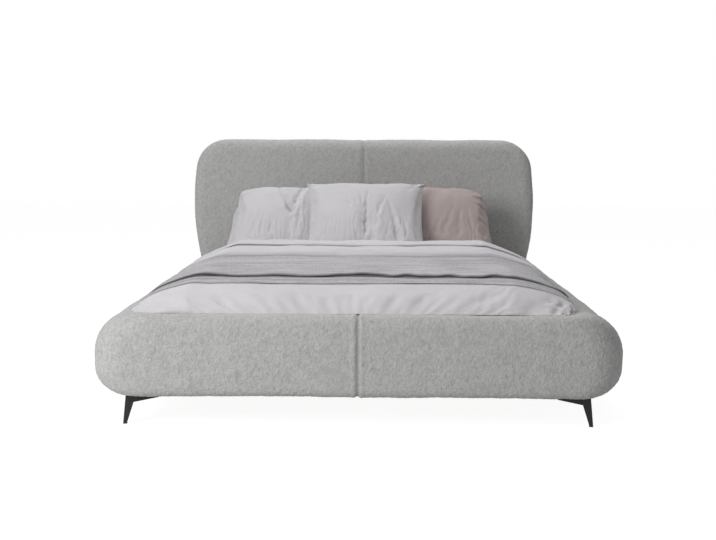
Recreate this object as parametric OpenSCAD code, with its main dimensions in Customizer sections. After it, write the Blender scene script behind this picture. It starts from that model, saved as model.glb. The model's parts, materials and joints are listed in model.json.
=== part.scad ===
// Upholstered double bed with a rounded headboard, made up with a duvet, a throw and five pillows.
// Millimetres, +Z up, foot at -Y and head at +Y. The origin is on the floor under the middle of the bed.

/* [Mattress] */
// Width of the mattress
mattress_w = 1600; // [1400:50:1800]
// Length of the mattress
mattress_l = 2000; // [1900:50:2100]
// Height of the mattress
mattress_h = 210; // [190:5:240]
// Depth that the mattress sinks below the top of the rails
mattress_sink = 155; // [130:5:170]
// Gap between the mattress and the frame on every side
mattress_gap = 6; // [4:1:12]
// Corner radius of the mattress in plan
mattress_corner_r = 60; // [40:5:90]
// Radius of the mattress's top and bottom edges
mattress_edge_r = 28; // [15:1:40]

/* [Upholstered frame] */
// Thickness of the side rails and of the footboard
rail_t = 194; // [190:1:220]
// Height of the side rails and of the footboard
rail_h = 308; // [300:2:330]
// Space between the floor and the underside of the frame
leg_h = 122; // [100:2:130]
// Radius in plan at the two ends of the footboard
end_plan_r = 140; // [110:5:160]
// Radius of the lower outer edges of the footboard's ends and of the side rails
low_edge_r = 108; // [90:2:140]
// Radius along the front edges of the footboard
front_edge_r = 36; // [24:2:50]
// Radius along the inner edges of the rails and of the footboard
inner_edge_r = 22; // [12:1:28]
// Thickness of the looped fabric cover
cover_t = 2.5; // [1.5:0.5:4]
// Thickness of the foam over the rails
foam_t = 35; // [28:1:42]
// Thickness of the timber boards
board_t = 22; // [18:1:25]
// Thickness of the plywood ribs
rib_t = 15; // [12:1:18]
// Number of plywood ribs in each rail
rib_count = 6; // [4:1:8]

/* [Headboard] */
// Height of the headboard's top edge above the floor
head_top = 1080; // [1000:10:1250]
// Distance from the frame's side in to the headboard's widest part
head_margin = 44; // [20:2:75]
// Thickness of the headboard
head_t = 160; // [150:5:200]
// Radius of the headboard's top corners
head_corner_r = 180; // [120:5:200]
// Radius of the headboard's bottom corners
head_foot_r = 50; // [30:5:80]
// Radius of the headboard's bulging sides
head_side_r = 1500; // [1300:50:3000]
// Height above the floor at which the headboard is widest
head_widest_z = 720; // [700:10:820]
// Radius with which the bulging sides run out into the straight lower sides
head_neck_r = 500; // [300:50:800]
// Radius along the front edge of the headboard
head_front_r = 62; // [40:2:75]
// Radius along the back edge of the headboard
head_back_r = 24; // [12:2:30]
// Thickness of the foam on the front of the headboard
head_foam_t = 55; // [40:5:70]
// Width of cover fabric folded on to the back of the headboard
head_fold_w = 70; // [50:5:90]

/* [Slatted base] */
// Number of slats on each side
slat_count = 14; // [10:1:16]
// Width of a slat
slat_w = 68; // [53:1:80]
// Thickness of a slat
slat_t = 8; // [7:0.5:10]
// Upward bow in the middle of a slat
slat_bow = 6; // [3:1:10]
// Width of the ledge that carries the slats
ledge_w = 30; // [25:1:40]
// Height of the ledge and of the centre beam
beam_h = 40; // [30:2:50]
// Width of the centre beam
beam_w = 50; // [40:2:60]
// Wall of the centre beam
beam_wall = 2; // [1.5:0.5:3]
// Length of a slat's end cap
cap_l = 24; // [20:1:30]
// Wall of a slat's end cap
cap_wall = 4; // [3:0.5:5]

/* [Metal legs] */
// Length of each arm of a corner leg
leg_arm = 125; // [110:5:130]
// Sheet thickness of a corner leg
leg_sheet = 4; // [3:0.5:5]
// Thickness of the plate on top of a corner leg
leg_plate_t = 3; // [2.5:0.5:4]
// Width of a corner leg at the floor
leg_tip_w = 14; // [12:1:24]
// Depth of a corner leg's arm where it meets the upright
leg_crook = 40; // [30:1:44]
// Width of a corner leg's upright where it meets the arm
leg_neck_w = 29; // [22:1:34]
// Depth of a corner leg's arm at its end
leg_toe = 20; // [8:1:26]
// Outward lean of a corner leg in degrees
leg_lean = 5; // [0:1:8]
// Distance from the footboard's face to the front legs
leg_inset_front = 108; // [90:2:120]
// Distance from the outside of the frame to the front legs
leg_inset_side = 120; // [110:5:140]
// Thickness of the plastic pads under the corner legs
glide_t = 2; // [1.5:0.5:4]

/* [Centre support legs] */
// Outer diameter of a centre support leg
tube_d = 35; // [32:1:36]
// Wall of a centre support leg
tube_wall = 1.5; // [1.2:0.1:2.5]
// Distance between the two centre support legs
tube_spacing = 700; // [500:50:900]
// Diameter of a levelling foot
foot_d = 40; // [36:2:50]
// Height of a levelling foot's pad
foot_h = 12; // [10:1:16]
// Diameter of a levelling foot's stem
stem_d = 8; // [6:1:10]
// Length of a levelling foot's stem
stem_l = 42; // [36:2:50]
// Travel of a levelling foot
foot_travel = 15; // [10:1:20]

/* [Bedding] */
// Thickness of the duvet on top of the mattress
duvet_t = 36; // [30:2:44]
// Overhang of the duvet on top of the rails
duvet_over = 58; // [45:1:60]
// Overhang of the duvet on top of the footboard
duvet_foot_over = 90; // [60:2:100]
// Width of the duvet's rounded shoulder at the foot
duvet_shoulder_r = 86; // [70:2:90]
// Width of the duvet's sloping shoulders at its sides
duvet_side_r = 170; // [120:5:190]
// Distance from the headboard to the duvet's folded edge
duvet_head_gap = 800; // [780:10:900]
// Length of duvet folded back on itself
duvet_fold_l = 280; // [200:10:300]
// Thickness that the folded part adds at the head end
duvet_fold_t = 70; // [50:2:76]
// Thickness that the folded part adds at its turned edge
duvet_fold_edge_t = 36; // [24:2:44]
// Thickness of one layer of the throw
throw_t = 9; // [6:1:12]
// Gap between the throw and the duvet's folded end
throw_gap = 16; // [5:1:40]
// Distance by which the throw's upper layer stops short of the lower one
throw_step = 150; // [100:10:220]
// Distance from the footboard's face to the throw
throw_inset = 250; // [250:5:300]

/* [Pillows] */
// Width of a front pillow
pillow_w = 625; // [600:5:640]
// Height of a front pillow
pillow_h = 490; // [485:1:495]
// Thickness of a front pillow
pillow_t = 150; // [148:1:152]
// Slope of the middle pillow above the horizontal in degrees
pillow_slope = 48; // [47:0.5:49]
// Slope of the two pillows beside it in degrees
pillow_side_slope = 42; // [41:0.5:43]
// Width of a rear pillow
rear_pillow_w = 725; // [700:5:730]
// Height of a rear pillow
rear_pillow_h = 450; // [445:1:455]
// Thickness of a rear pillow
rear_pillow_t = 150; // [148:1:152]
// Slope of a rear pillow above the horizontal in degrees
rear_pillow_slope = 28; // [27:0.5:29]
// Distance from the bed's middle to the left rear pillow
rear_left_x = 385; // [375:1:395]
// Distance from the bed's middle to the right rear pillow
rear_right_x = 352; // [345:1:365]
// Distance from the bed's middle to the left front pillow
side_left_x = 373; // [360:1:385]
// Distance from the bed's middle to the right front pillow
side_right_x = 360; // [350:1:375]
// Distance from the bed's middle to the middle pillow, towards the right
center_x = 18; // [0:1:30]

/* [Hidden] */

boucle = "#b4b4b2";
foam_yellow = "#e9dfb8";
timber = "#c9a876";
plywood = "#d2b88a";
black_steel = "#26262a";
black_plastic = "#1d1d1f";
zinc = "#a9adb0";
linen = "#dcdadd";
throw_grey = "#a3a2a4";
taupe = "#b3a8a5";

eps = 0.01;
rest_gap = 0.3;
screw_clear = 0.1;
far_out = 400;

frame_w = mattress_w + 2 * mattress_gap + 2 * rail_t;
head_w = frame_w - 2 * head_margin;
frame_l = rail_t + mattress_l + 2 * mattress_gap + head_t;
foot_y = -frame_l / 2;
back_y = frame_l / 2;
well_x = mattress_w / 2 + mattress_gap;
well_foot_y = foot_y + rail_t;
well_head_y = back_y - head_t;
rail_l = well_head_y - well_foot_y;
rail_end_y = well_head_y - cover_t;
rail_top = leg_h + rail_h;
frame_low = leg_h + cover_t;
head_bulge_x = head_w / 2 - head_side_r;
head_neck_a = asin((head_widest_z - rail_top) / head_side_r);
head_neck_z = head_widest_z - (head_side_r + head_neck_r) * sin(head_neck_a);
head_low_half = head_bulge_x + (head_side_r + head_neck_r) * cos(head_neck_a) - head_neck_r;
round_r = rail_h / 2;
round_u = rail_t - round_r;
former_r = round_r - cover_t - foam_t;
board_u = cover_t + board_t;

mattress_z = rail_top - mattress_sink;
mattress_top = mattress_z + mattress_h;
slat_top = mattress_z - rest_gap;
slat_end_z = slat_top - slat_bow - slat_t;
ledge_top = slat_end_z - cap_wall - rest_gap;
ledge_z = ledge_top - beam_h;
slat_x0 = beam_w / 2 + cap_wall - cap_l / 2;
slat_x1 = well_x - cap_wall - mattress_gap;
slat_pitch = (rail_l - slat_w - 60) / (slat_count - 1);
slat_first_y = well_foot_y + 30 + slat_w / 2;

duvet_z = rail_top + rest_gap;
duvet_top = mattress_top + duvet_t;
duvet_corner_r = 60;
duvet_x = well_x + duvet_over;
duvet_foot_y = well_foot_y - duvet_foot_over;
duvet_head_y = well_head_y - duvet_head_gap;
throw_foot_y = foot_y + throw_inset;
throw_head_y = duvet_head_y - duvet_fold_l - throw_gap;

bracket_leg = 50;
bracket_t = 3;
bracket_z = frame_low + 24;
bracket_h = min(70, ledge_z - bracket_z - 6);
bolt_r = 4;
bolt_head_r = 6.5;
bolt_head_h = 5;
bolt_inset = 32;
hanger_t = 3;
hanger_l = 45;
hanger_ear = 34;
hanger_bolt_r = 3;
hanger_bolt_inset = 11;
hanger_head_r = 5;
hanger_head_h = 3;
wood_screw_r = 2.5;
wood_screw_head_r = 4.5;
wood_screw_l = 18;
ledge_screw_count = 6;
leg_rear_inset_back = 30;
tube_plate = 46;
tube_plate_t = 3;
insert_l = 46;
post_w = 126;
pillow_n = 14;
pillow_m = 10;
rear_pillow_y = rest_gap + pillow_reach(rear_pillow_w, rear_pillow_h, rear_pillow_t, rear_pillow_slope);
side_pillow_y = rear_pillow_y + 0.7 * (pillow_t + rear_pillow_t) + 2.2;
center_pillow_y = side_pillow_y + 1.3 * pillow_t - 4.6;
foot_xs = [-tube_spacing / 2, tube_spacing / 2];

// Points along an arc from angle a0 to a1 in n steps
function arc(cx, cy, r, a0, a1, n) =
    [for (i = [0 : n]) let (a = a0 + (a1 - a0) * i / n) [cx + r * cos(a), cy + r * sin(a)]];

// Depth that a quarter round of radius r still cuts away at distance d from the edge
function round_cut(r, d) = d >= r ? 0 : r - sqrt(max(0, r * r - (r - d) * (r - d)));

// Section of a side rail, u outwards from its inner face and v upwards, moved in by i
function rail_section(i) = concat(
    [[i, i]],
    arc(rail_t - low_edge_r, low_edge_r, low_edge_r - i, -90, 0, 10),
    arc(round_u, round_r, round_r - i, 0, 90, 10),
    arc(inner_edge_r, rail_h - inner_edge_r, inner_edge_r - i, 90, 180, 5));

// Section of the hollow in a side rail's foam
function rail_hollow() = concat(
    [[-eps, -eps], [board_u, -eps], [board_u, round_r - former_r]],
    arc(round_u, round_r, former_r, -90, 90, 16),
    [[-eps, round_r + former_r]]);

// Outline with straight top and bottom and round ends, a half width, b half height, r lower radius
function pill(a, b, r) = concat(arc(a - r, r - b, r, -90, 0, 5), arc(a - b, 0, b, 0, 90, 5),
    arc(b - a, 0, b, 90, 180, 5), arc(r - a, r - b, r, 180, 270, 5));

// Right half of the headboard's outline moved in by i, its bottom edge by base, anticlockwise
function head_right(i, base) = let (
    r = max(2, head_corner_r - i), f = max(2, head_foot_r - i),
    top = head_top - i, low = leg_h + base, side = head_side_r - i,
    tz = top - r - head_widest_z, tx = head_bulge_x + sqrt(pow(side - r, 2) - tz * tz),
    ta = atan2(tz, tx - head_bulge_x))
    concat(arc(head_low_half - i - f, low + f, f, -90, 0, 4),
        arc(head_low_half + head_neck_r, head_neck_z, head_neck_r + i, 180, 180 - head_neck_a, 2),
        [for (k = [1 : 5]) let (a = -head_neck_a + (ta + head_neck_a) * k / 6)
            [head_bulge_x + side * cos(a), head_widest_z + side * sin(a)]],
        arc(tx, top - r, r, ta, 90, 7));
function head_outline(i, base = cover_t) = let (p = head_right(i, base), n = len(p))
    concat(p, [for (k = [n - 1 : -1 : 0]) [-p[k][0], p[k][1]]]);

// Rounded rectangle from (x0, y0) to (x1, y1) with corner radius r
function slab_outline(x0, y0, x1, y1, r) = concat(
    arc(x1 - r, y0 + r, r, -90, 0, 5), arc(x1 - r, y1 - r, r, 0, 90, 5),
    arc(x0 + r, y1 - r, r, 90, 180, 5), arc(x0 + r, y0 + r, r, 180, 270, 5));

// Closed skin through rings of equally many points, each ring the same left and right of its middle
module loft(rings) {
    n = len(rings[0]);
    m = len(rings);
    last = (m - 1) * n;
    sides = [for (j = [0 : m - 2], i = [0 : n - 1])
        let (a = j * n + i, b = j * n + (i + 1) % n) each [[a, a + n, b], [b, a + n, b + n]]];
    caps = [for (k = [0 : n / 2 - 2]) let (q = [k, k + 1, n - 2 - k, n - 1 - k])
        each [q, [last + q[3], last + q[2], last + q[1], last + q[0]]]];
    polyhedron([for (ring = rings) each ring], concat(sides, caps));
}

// Footboard body moved in by i, as rings from its front face to its back face
module footboard_body(i) {
    plan_r = end_plan_r - i;
    edge_r = front_edge_r - i;
    back_r = inner_edge_r - i;
    depth = rail_t - 2 * i;
    stations = concat(
        [for (t = [0 : 9 : 90]) plan_r * (1 - cos(t))],
        [for (t = [0 : 30 : 90]) depth - back_r + back_r * sin(t)]);
    loft([for (d = stations)
        let (back = round_cut(back_r, depth - d),
            a = frame_w / 2 - i - round_cut(plan_r, d) - back,
            b = round_r - i - round_cut(edge_r, d) - back)
        [for (p = pill(a, b, b - round_r + low_edge_r)) [-p[0], foot_y + i + d, leg_h + round_r + p[1]]]]);
}

// Headboard body moved in by i, as rings from its front face to its back face
module headboard_body(i) {
    front_r = head_front_r - i;
    back_r = head_back_r - i;
    depth = head_t - 2 * i;
    stations = concat(
        [for (t = [0 : 18 : 90]) front_r * (1 - cos(t))],
        [for (t = [0 : 45 : 90]) depth - back_r + back_r * sin(t)]);
    loft([for (d = stations)
        let (cut = round_cut(front_r, d) + round_cut(back_r, depth - d))
        [for (p = head_outline(i + cut, i)) [-p[0], well_head_y + i + d, p[1]]]]);
}

module box(x0, y0, z0, x1, y1, z1) {
    translate([x0, y0, z0]) cube([x1 - x0, y1 - y0, z1 - z0]);
}

// A section in x and z, drawn along Y from y0 to y1
module along_y(y0, y1) {
    translate([0, y1, 0]) rotate([90, 0, 0]) linear_extrude(y1 - y0) children();
}

module both_sides() {
    children();
    mirror([1, 0, 0]) children();
}

// Footboard

module footboard_cover() {
    color(boucle) difference() {
        footboard_body(0);
        footboard_body(cover_t);
        box(-well_x + 2 * leg_arm, well_foot_y - 66, leg_h - 1,
            well_x - 2 * leg_arm, well_foot_y - 40, frame_low + 1);
        leg_screw_holes();
        bracket_bolt_holes();
        hanger_bolt_holes();
    }
}

// Plan of the footboard's timber frame, larger by grow and shorter at the back by trim
module footboard_plan(grow, trim) {
    front = foot_y + cover_t + foam_t + 6 - grow;
    back = well_foot_y - cover_t - trim + grow;
    narrow = frame_w / 2 - round_r - end_plan_r / 3 + grow;
    wide = frame_w / 2 - round_r - 20 + grow;
    polygon([[-narrow, front], [narrow, front], [wide, front + 34], [wide, back], [-wide, back],
        [-wide, front + 34]]);
}

// The footboard's timber plan from height z0 to z1
module footboard_layer(z0, z1, grow, trim) {
    translate([0, 0, z0]) linear_extrude(z1 - z0) footboard_plan(grow, trim);
}

module footboard_foam() {
    color(foam_yellow) difference() {
        footboard_body(cover_t);
        footboard_layer(frame_low - eps, frame_low + board_t + eps, eps, inner_edge_r);
        footboard_layer(frame_low + board_t - eps, rail_top - cover_t - foam_t + eps, eps, 0);
    }
}

module footboard_frame() {
    front = foot_y + cover_t + foam_t + 6;
    back = well_foot_y - cover_t;
    half = frame_w / 2 - round_r - end_plan_r / 3;
    top = rail_top - cover_t - foam_t;
    color(timber) difference() {
        union() {
            box(-half - 20, back - board_t, frame_low + board_t, half + 20, back, top);
            box(-half, front, frame_low, half, front + rib_t, top);
            box(-half - 20, back - board_t - 20, frame_low + board_t - eps, half + 20,
                back - board_t + eps, frame_low + 2 * board_t);
            difference() {
                footboard_layer(frame_low, frame_low + board_t, 0, inner_edge_r);
                box(-half + 2 * leg_arm, back - 64, 0, half - 2 * leg_arm, back - 36, frame_low + board_t + 1);
            }
            footboard_layer(top - rib_t, top, 0, 0);
            for (k = [0 : rib_count - 1])
                translate([-half + (2 * half - rib_t) * k / (rib_count - 1), 0, 0]) difference() {
                    box(0, front + rib_t - eps, frame_low + board_t - eps,
                        rib_t, back - board_t + eps, top - rib_t + eps);
                    translate([-1, (front + back) / 2, leg_h + round_r]) rotate([0, 90, 0])
                        cylinder(r = 30, h = rib_t + 2, $fn = 64);
                }
        }
        leg_screw_holes();
        bracket_bolt_holes();
        hanger_bolt_holes();
    }
}

// Side rails

module rail_cover() {
    difference() {
        translate([well_x, 0, leg_h]) union() {
            along_y(well_foot_y, well_head_y) difference() {
                polygon(rail_section(0));
                polygon(rail_section(cover_t));
                translate([board_u / 2, -1]) square([board_u / 2, cover_t + 2]);
            }
            along_y(well_head_y - cover_t, well_head_y) polygon(rail_section(eps));
        }
        ledge_screw_holes();
        bracket_bolt_holes();
    }
}

module rail_foam() {
    translate([well_x, 0, leg_h]) along_y(well_foot_y, rail_end_y) difference() {
        polygon(rail_section(cover_t));
        polygon(rail_hollow());
    }
}

module rail_rib() {
    polygon(concat([[board_u - eps, round_r - former_r]],
        arc(round_u, round_r, former_r, -90, 90, 16),
        [[board_u - eps, round_r + former_r]]));
}

module rail_frame() {
    stringer = 22;
    difference() {
        union() {
            translate([well_x, 0, leg_h]) {
                along_y(well_foot_y, rail_end_y) union() {
                    translate([cover_t, cover_t])
                        square([board_t, round_r + former_r - cover_t]);
                    translate([board_u - eps, round_r + former_r - stringer - 4])
                        square([stringer + 8, stringer]);
                    translate([board_u - eps, round_r - former_r + 4])
                        square([stringer + 8, stringer]);
                    translate([round_u + former_r - stringer - 3, round_r - 14])
                        square([stringer, 28]);
                }
                for (k = [0 : rib_count - 1])
                    translate([0, (rail_l - cover_t - rib_t) * k / (rib_count - 1), 0])
                        along_y(well_foot_y, well_foot_y + rib_t) rail_rib();
            }
        }
        ledge_screw_holes();
        bracket_bolt_holes();
    }
}

module rail_cover_left() { color(boucle) mirror([1, 0, 0]) rail_cover(); }
module rail_cover_right() { color(boucle) rail_cover(); }
module rail_foam_left() { color(foam_yellow) mirror([1, 0, 0]) rail_foam(); }
module rail_foam_right() { color(foam_yellow) rail_foam(); }
module rail_frame_left() { color(timber) mirror([1, 0, 0]) rail_frame(); }
module rail_frame_right() { color(timber) rail_frame(); }

// Headboard

module headboard_cover() {
    color(boucle) difference() {
        headboard_body(0);
        headboard_body(cover_t);
        along_y(back_y - cover_t - 1, back_y + 1)
            polygon(head_outline(head_back_r + head_fold_w, head_fold_w));
        leg_screw_holes();
        bracket_bolt_holes();
        hanger_bolt_holes();
    }
}

// Space in the headboard's foam that its timber frame fills
module headboard_hollow(grow) {
    inset = cover_t + head_foam_t;
    front = well_head_y + inset;
    along_y(front - grow, back_y - cover_t + grow) polygon(head_outline(inset - grow, cover_t - grow));
    headboard_posts(grow);
}

// Blocks that come forward through the foam to take the rails and the centre beam
module headboard_posts(grow) {
    front = well_head_y + cover_t;
    deep = front + head_foam_t + 40;
    side = head_low_half - head_front_r;
    both_sides() box(side - post_w - grow, front - grow, frame_low - grow,
        side + grow, deep, rail_top + grow);
    box(-post_w / 2 - grow, front - grow, frame_low - grow, post_w / 2 + grow, deep, ledge_top + 6 + grow);
}

module headboard_foam() {
    color(foam_yellow) difference() {
        headboard_body(cover_t);
        headboard_hollow(eps);
    }
}

module headboard_frame() {
    inset = cover_t + head_foam_t;
    front = well_head_y + inset;
    back = back_y - cover_t - rib_t;
    stile = 70;
    color(timber) difference() {
        union() {
            along_y(front, back) difference() {
                polygon(head_outline(inset));
                polygon(head_outline(inset + stile, cover_t + stile));
            }
            along_y(front, front + 5) polygon(head_outline(inset + stile - 1, cover_t + stile - 1));
            for (x = [-0.5, 0, 0.5])
                box(x * head_w / 2 - stile / 2, front + 5 - eps, frame_low + stile - 1,
                    x * head_w / 2 + stile / 2, back, head_top - inset - stile + 1);
            box(-head_low_half + inset + stile - 1, front + 5 - eps, rail_top,
                head_low_half - inset - stile + 1, back, rail_top + stile);
            headboard_posts(0);
        }
        leg_screw_holes();
        bracket_bolt_holes();
        hanger_bolt_holes();
    }
}

module headboard_back_panel() {
    color(black_plastic) along_y(back_y - cover_t - rib_t, back_y - cover_t)
        polygon(head_outline(cover_t + head_foam_t));
}

// Slatted base

module slat_ledge() {
    difference() {
        box(well_x - ledge_w, well_foot_y + rest_gap, ledge_z, well_x, well_head_y - rest_gap, ledge_top);
        ledge_screw_holes();
    }
}

// A bowed slat seen from the foot, from the beam out to the rail
module slat_section() {
    n = 8;
    span = slat_x1 - slat_x0;
    function rise(k) = slat_bow * (1 - pow(2 * k / n - 1, 2));
    polygon(concat(
        [for (k = [0 : n]) [slat_x0 + span * k / n, slat_end_z + rise(k)]],
        [for (k = [n : -1 : 0]) [slat_x0 + span * k / n, slat_end_z + slat_t + rise(k)]]));
}

module slats() {
    for (k = [0 : slat_count - 1]) {
        y = slat_first_y + k * slat_pitch;
        along_y(y - slat_w / 2, y + slat_w / 2) slat_section();
    }
}

module slats_left() { color(plywood) mirror([1, 0, 0]) slats(); }
module slats_right() { color(plywood) slats(); }

// A plastic cap from x0 to x1, with a mouth for the slat at its open side
module slat_cap(x0, x1) {
    for (k = [0 : slat_count - 1]) {
        y = slat_first_y + k * slat_pitch;
        difference() {
            box(x0, y - slat_w / 2 - cap_wall, ledge_top + rest_gap / 2,
                x1, y + slat_w / 2 + cap_wall, slat_end_z + slat_t + cap_wall / 2 + 1);
            both_sides() translate([0, 0, 0])
                box(slat_x0 - rest_gap, y - slat_w / 2 - rest_gap, slat_end_z - rest_gap,
                    slat_x1 + rest_gap, y + slat_w / 2 + rest_gap, slat_end_z + slat_t + 1);
        }
    }
}

module side_cap() { slat_cap(slat_x1 - cap_l + cap_wall, slat_x1 + cap_wall); }
module side_caps_left() { color(black_plastic) mirror([1, 0, 0]) side_cap(); }
module side_caps_right() { color(black_plastic) side_cap(); }
module center_caps() { color(black_plastic) slat_cap(-beam_w / 2, beam_w / 2); }

module slat_ledge_left() { color(timber) mirror([1, 0, 0]) slat_ledge(); }
module slat_ledge_right() { color(timber) slat_ledge(); }

module center_beam() {
    color(black_steel) difference() {
        box(-beam_w / 2, well_foot_y + hanger_t + rest_gap, ledge_z,
            beam_w / 2, well_head_y - hanger_t - rest_gap, ledge_top);
        box(-beam_w / 2 + beam_wall, well_foot_y, ledge_z + beam_wall,
            beam_w / 2 - beam_wall, well_head_y, ledge_top - beam_wall);
        support_screw_holes();
    }
}

// Steel cradle that holds one end of the centre beam, drawn for the foot end
module beam_hanger() {
    side = beam_w / 2 + rest_gap;
    difference() {
        union() {
            box(-side - hanger_ear, 0, ledge_z - hanger_t, side + hanger_ear, hanger_t, ledge_top);
            box(-side - hanger_t, 0, ledge_z - hanger_t - rest_gap, side + hanger_t, hanger_l, ledge_z - rest_gap);
            both_sides() box(side, 0, ledge_z - hanger_t - rest_gap, side + hanger_t, hanger_l, ledge_top - 6);
        }
        hanger_bolt_axes() cylinder(r = hanger_bolt_r + screw_clear, h = far_out, center = true, $fn = 32);
    }
}

// Places its children on the axes of a hanger's four bolts, along Y
module hanger_bolt_axes() {
    for (x = [-1, 1], z = [hanger_bolt_inset, beam_h - hanger_bolt_inset])
        translate([x * (beam_w / 2 + hanger_ear - hanger_bolt_inset), 0, ledge_z + z]) rotate([-90, 0, 0]) children();
}

module beam_hanger_foot() { color(black_steel) translate([0, well_foot_y, 0]) beam_hanger(); }
module beam_hanger_head() { color(black_steel) translate([0, well_head_y, 0]) mirror([0, 1, 0]) beam_hanger(); }

module hanger_bolt_holes() {
    for (y = [well_foot_y, well_head_y])
        translate([0, y, 0]) hanger_bolt_axes()
            cylinder(r = hanger_bolt_r + screw_clear, h = 2 * (board_u + 10), center = true, $fn = 32);
}

// A bolt along +Z with its head below z = 0
module bolt(r, head_r, head_h, l) {
    translate([0, 0, -head_h]) cylinder(r = head_r, h = head_h, $fn = 32);
    translate([0, 0, -eps]) cylinder(r = r, h = l, $fn = 32);
}

module hanger_bolts() {
    color(zinc) {
        translate([0, well_foot_y + hanger_t, 0]) hanger_bolt_axes()
            mirror([0, 0, 1]) bolt(hanger_bolt_r, hanger_head_r, hanger_head_h, hanger_t + board_u);
        translate([0, well_head_y - hanger_t, 0]) hanger_bolt_axes()
            bolt(hanger_bolt_r, hanger_head_r, hanger_head_h, hanger_t + board_u);
    }
}

// Centre support legs

module at_support(k) { translate([0, foot_xs[k], 0]) children(); }

module support_leg() {
    low = foot_h + rest_gap;
    difference() {
        union() {
            translate([0, 0, low]) cylinder(d = tube_d, h = ledge_z - rest_gap - low, $fn = 64);
            translate([-tube_plate / 2, -tube_plate / 2, ledge_z - rest_gap - tube_plate_t])
                cube([tube_plate, tube_plate, tube_plate_t]);
        }
        translate([0, 0, low - 1])
            cylinder(d = tube_d - 2 * tube_wall, h = ledge_z - rest_gap - tube_plate_t - low + 1, $fn = 64);
        support_screw_axes() cylinder(r = wood_screw_r + screw_clear, h = 20, center = true, $fn = 32);
    }
}

module support_screw_axes() {
    for (x = [-1, 1]) translate([x * tube_plate * 0.36, tube_plate * 0.36 * x, ledge_z]) children();
}

module support_screw_holes() {
    for (k = [0, 1]) at_support(k)
        support_screw_axes() cylinder(r = wood_screw_r + screw_clear, h = 20, center = true, $fn = 32);
}

module support_leg_screws() {
    color(zinc) for (k = [0, 1]) at_support(k) support_screw_axes()
        translate([0, 0, -rest_gap - tube_plate_t])
            bolt(wood_screw_r, wood_screw_head_r, 2, tube_plate_t + beam_wall + 6);
}

// Plastic plug that closes the tube and carries the foot's stem
module leg_insert() {
    low = foot_h + rest_gap;
    difference() {
        translate([0, 0, low]) cylinder(d = tube_d - 2 * tube_wall, h = insert_l, $fn = 64);
        translate([0, 0, low - 1]) cylinder(d = stem_d + 0.1, h = insert_l + 2, $fn = 48);
    }
}

module levelling_foot() {
    cylinder(d1 = foot_d, d2 = foot_d - 4, h = foot_h, $fn = 64);
    translate([0, 0, foot_h - eps]) cylinder(d = stem_d, h = stem_l, $fn = 48);
}

module support_leg_front() { color(black_steel) at_support(0) support_leg(); }
module support_leg_rear() { color(black_steel) at_support(1) support_leg(); }
module leg_insert_front() { color(black_plastic) at_support(0) leg_insert(); }
module leg_insert_rear() { color(black_plastic) at_support(1) leg_insert(); }
module levelling_foot_front() { color(black_plastic) at_support(0) levelling_foot(); }
module levelling_foot_rear() { color(black_plastic) at_support(1) levelling_foot(); }

// Corner brackets, drawn for the corner where the right rail meets the footboard

module bracket() {
    difference() {
        union() {
            box(well_x - bracket_t, well_foot_y, bracket_z, well_x, well_foot_y + bracket_leg, bracket_z + bracket_h);
            box(well_x - bracket_leg, well_foot_y, bracket_z, well_x, well_foot_y + bracket_t, bracket_z + bracket_h);
        }
        bracket_bolt_holes();
    }
}

// Places its children on each bolt axis of one bracket, pointing from the bracket into the timber
module bracket_bolt_axes() {
    for (z = [0.25, 0.75]) translate([0, 0, bracket_z + z * bracket_h]) {
        translate([well_x, well_foot_y + bolt_inset, 0]) rotate([0, 90, 0]) children();
        translate([well_x - bolt_inset, well_foot_y, 0]) rotate([90, 0, 0]) children();
    }
}

module four_corners() {
    both_sides() {
        children();
        translate([0, well_foot_y + well_head_y, 0]) mirror([0, 1, 0]) children();
    }
}

module bracket_bolt_holes() {
    four_corners() bracket_bolt_axes()
        cylinder(r = bolt_r + screw_clear, h = 2 * (board_u + 12), center = true, $fn = 32);
}

module bracket_bolts() {
    color(zinc) four_corners() bracket_bolt_axes()
        translate([0, 0, -bracket_t]) bolt(bolt_r, bolt_head_r, bolt_head_h, bracket_t + board_u);
}

module bracket_rear() { translate([0, well_foot_y + well_head_y, 0]) mirror([0, 1, 0]) bracket(); }
module bracket_front_left() { color(black_steel) mirror([1, 0, 0]) bracket(); }
module bracket_front_right() { color(black_steel) bracket(); }
module bracket_rear_left() { color(black_steel) mirror([1, 0, 0]) bracket_rear(); }
module bracket_rear_right() { color(black_steel) bracket_rear(); }

// Ledge screws

module ledge_screw_axes() {
    for (k = [0 : ledge_screw_count - 1])
        translate([well_x - ledge_w, well_foot_y + 120 + (rail_l - 240) * k / (ledge_screw_count - 1),
            ledge_z + beam_h / 2]) rotate([0, 90, 0]) children();
}

module ledge_screw_holes() {
    both_sides() ledge_screw_axes()
        translate([0, 0, -1]) cylinder(r = wood_screw_r + screw_clear, h = ledge_w + board_u + 1, $fn = 32);
}

module ledge_screws() {
    color(zinc) both_sides() ledge_screw_axes()
        bolt(wood_screw_r, wood_screw_head_r, 2, ledge_w + cover_t + wood_screw_l);
}

// Corner legs: two sheet blades at a right angle under a screw plate, drawn for the front right

module leg_blade() {
    rise = leg_h - leg_plate_t - glide_t;
    polygon([[0, 0], [-leg_arm, 0], [-leg_arm, -leg_toe + leg_plate_t],
        [-leg_neck_w, -leg_crook + leg_plate_t],
        [rise * tan(leg_lean) - leg_tip_w, -rise], [rise * tan(leg_lean), -rise]]);
}

module leg_shape() {
    intersection() {
        union() {
            rotate([-leg_lean, 0, 0]) rotate([90, 0, 0])
                translate([0, 0, -leg_sheet]) linear_extrude(leg_sheet) leg_blade();
            mirror([1, 1, 0]) rotate([-leg_lean, 0, 0]) rotate([90, 0, 0])
                translate([0, 0, -leg_sheet]) linear_extrude(leg_sheet) leg_blade();
        }
        box(-2 * leg_arm, -leg_arm, -leg_h + leg_plate_t + glide_t, leg_arm, 2 * leg_arm, 0);
    }
}

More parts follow.
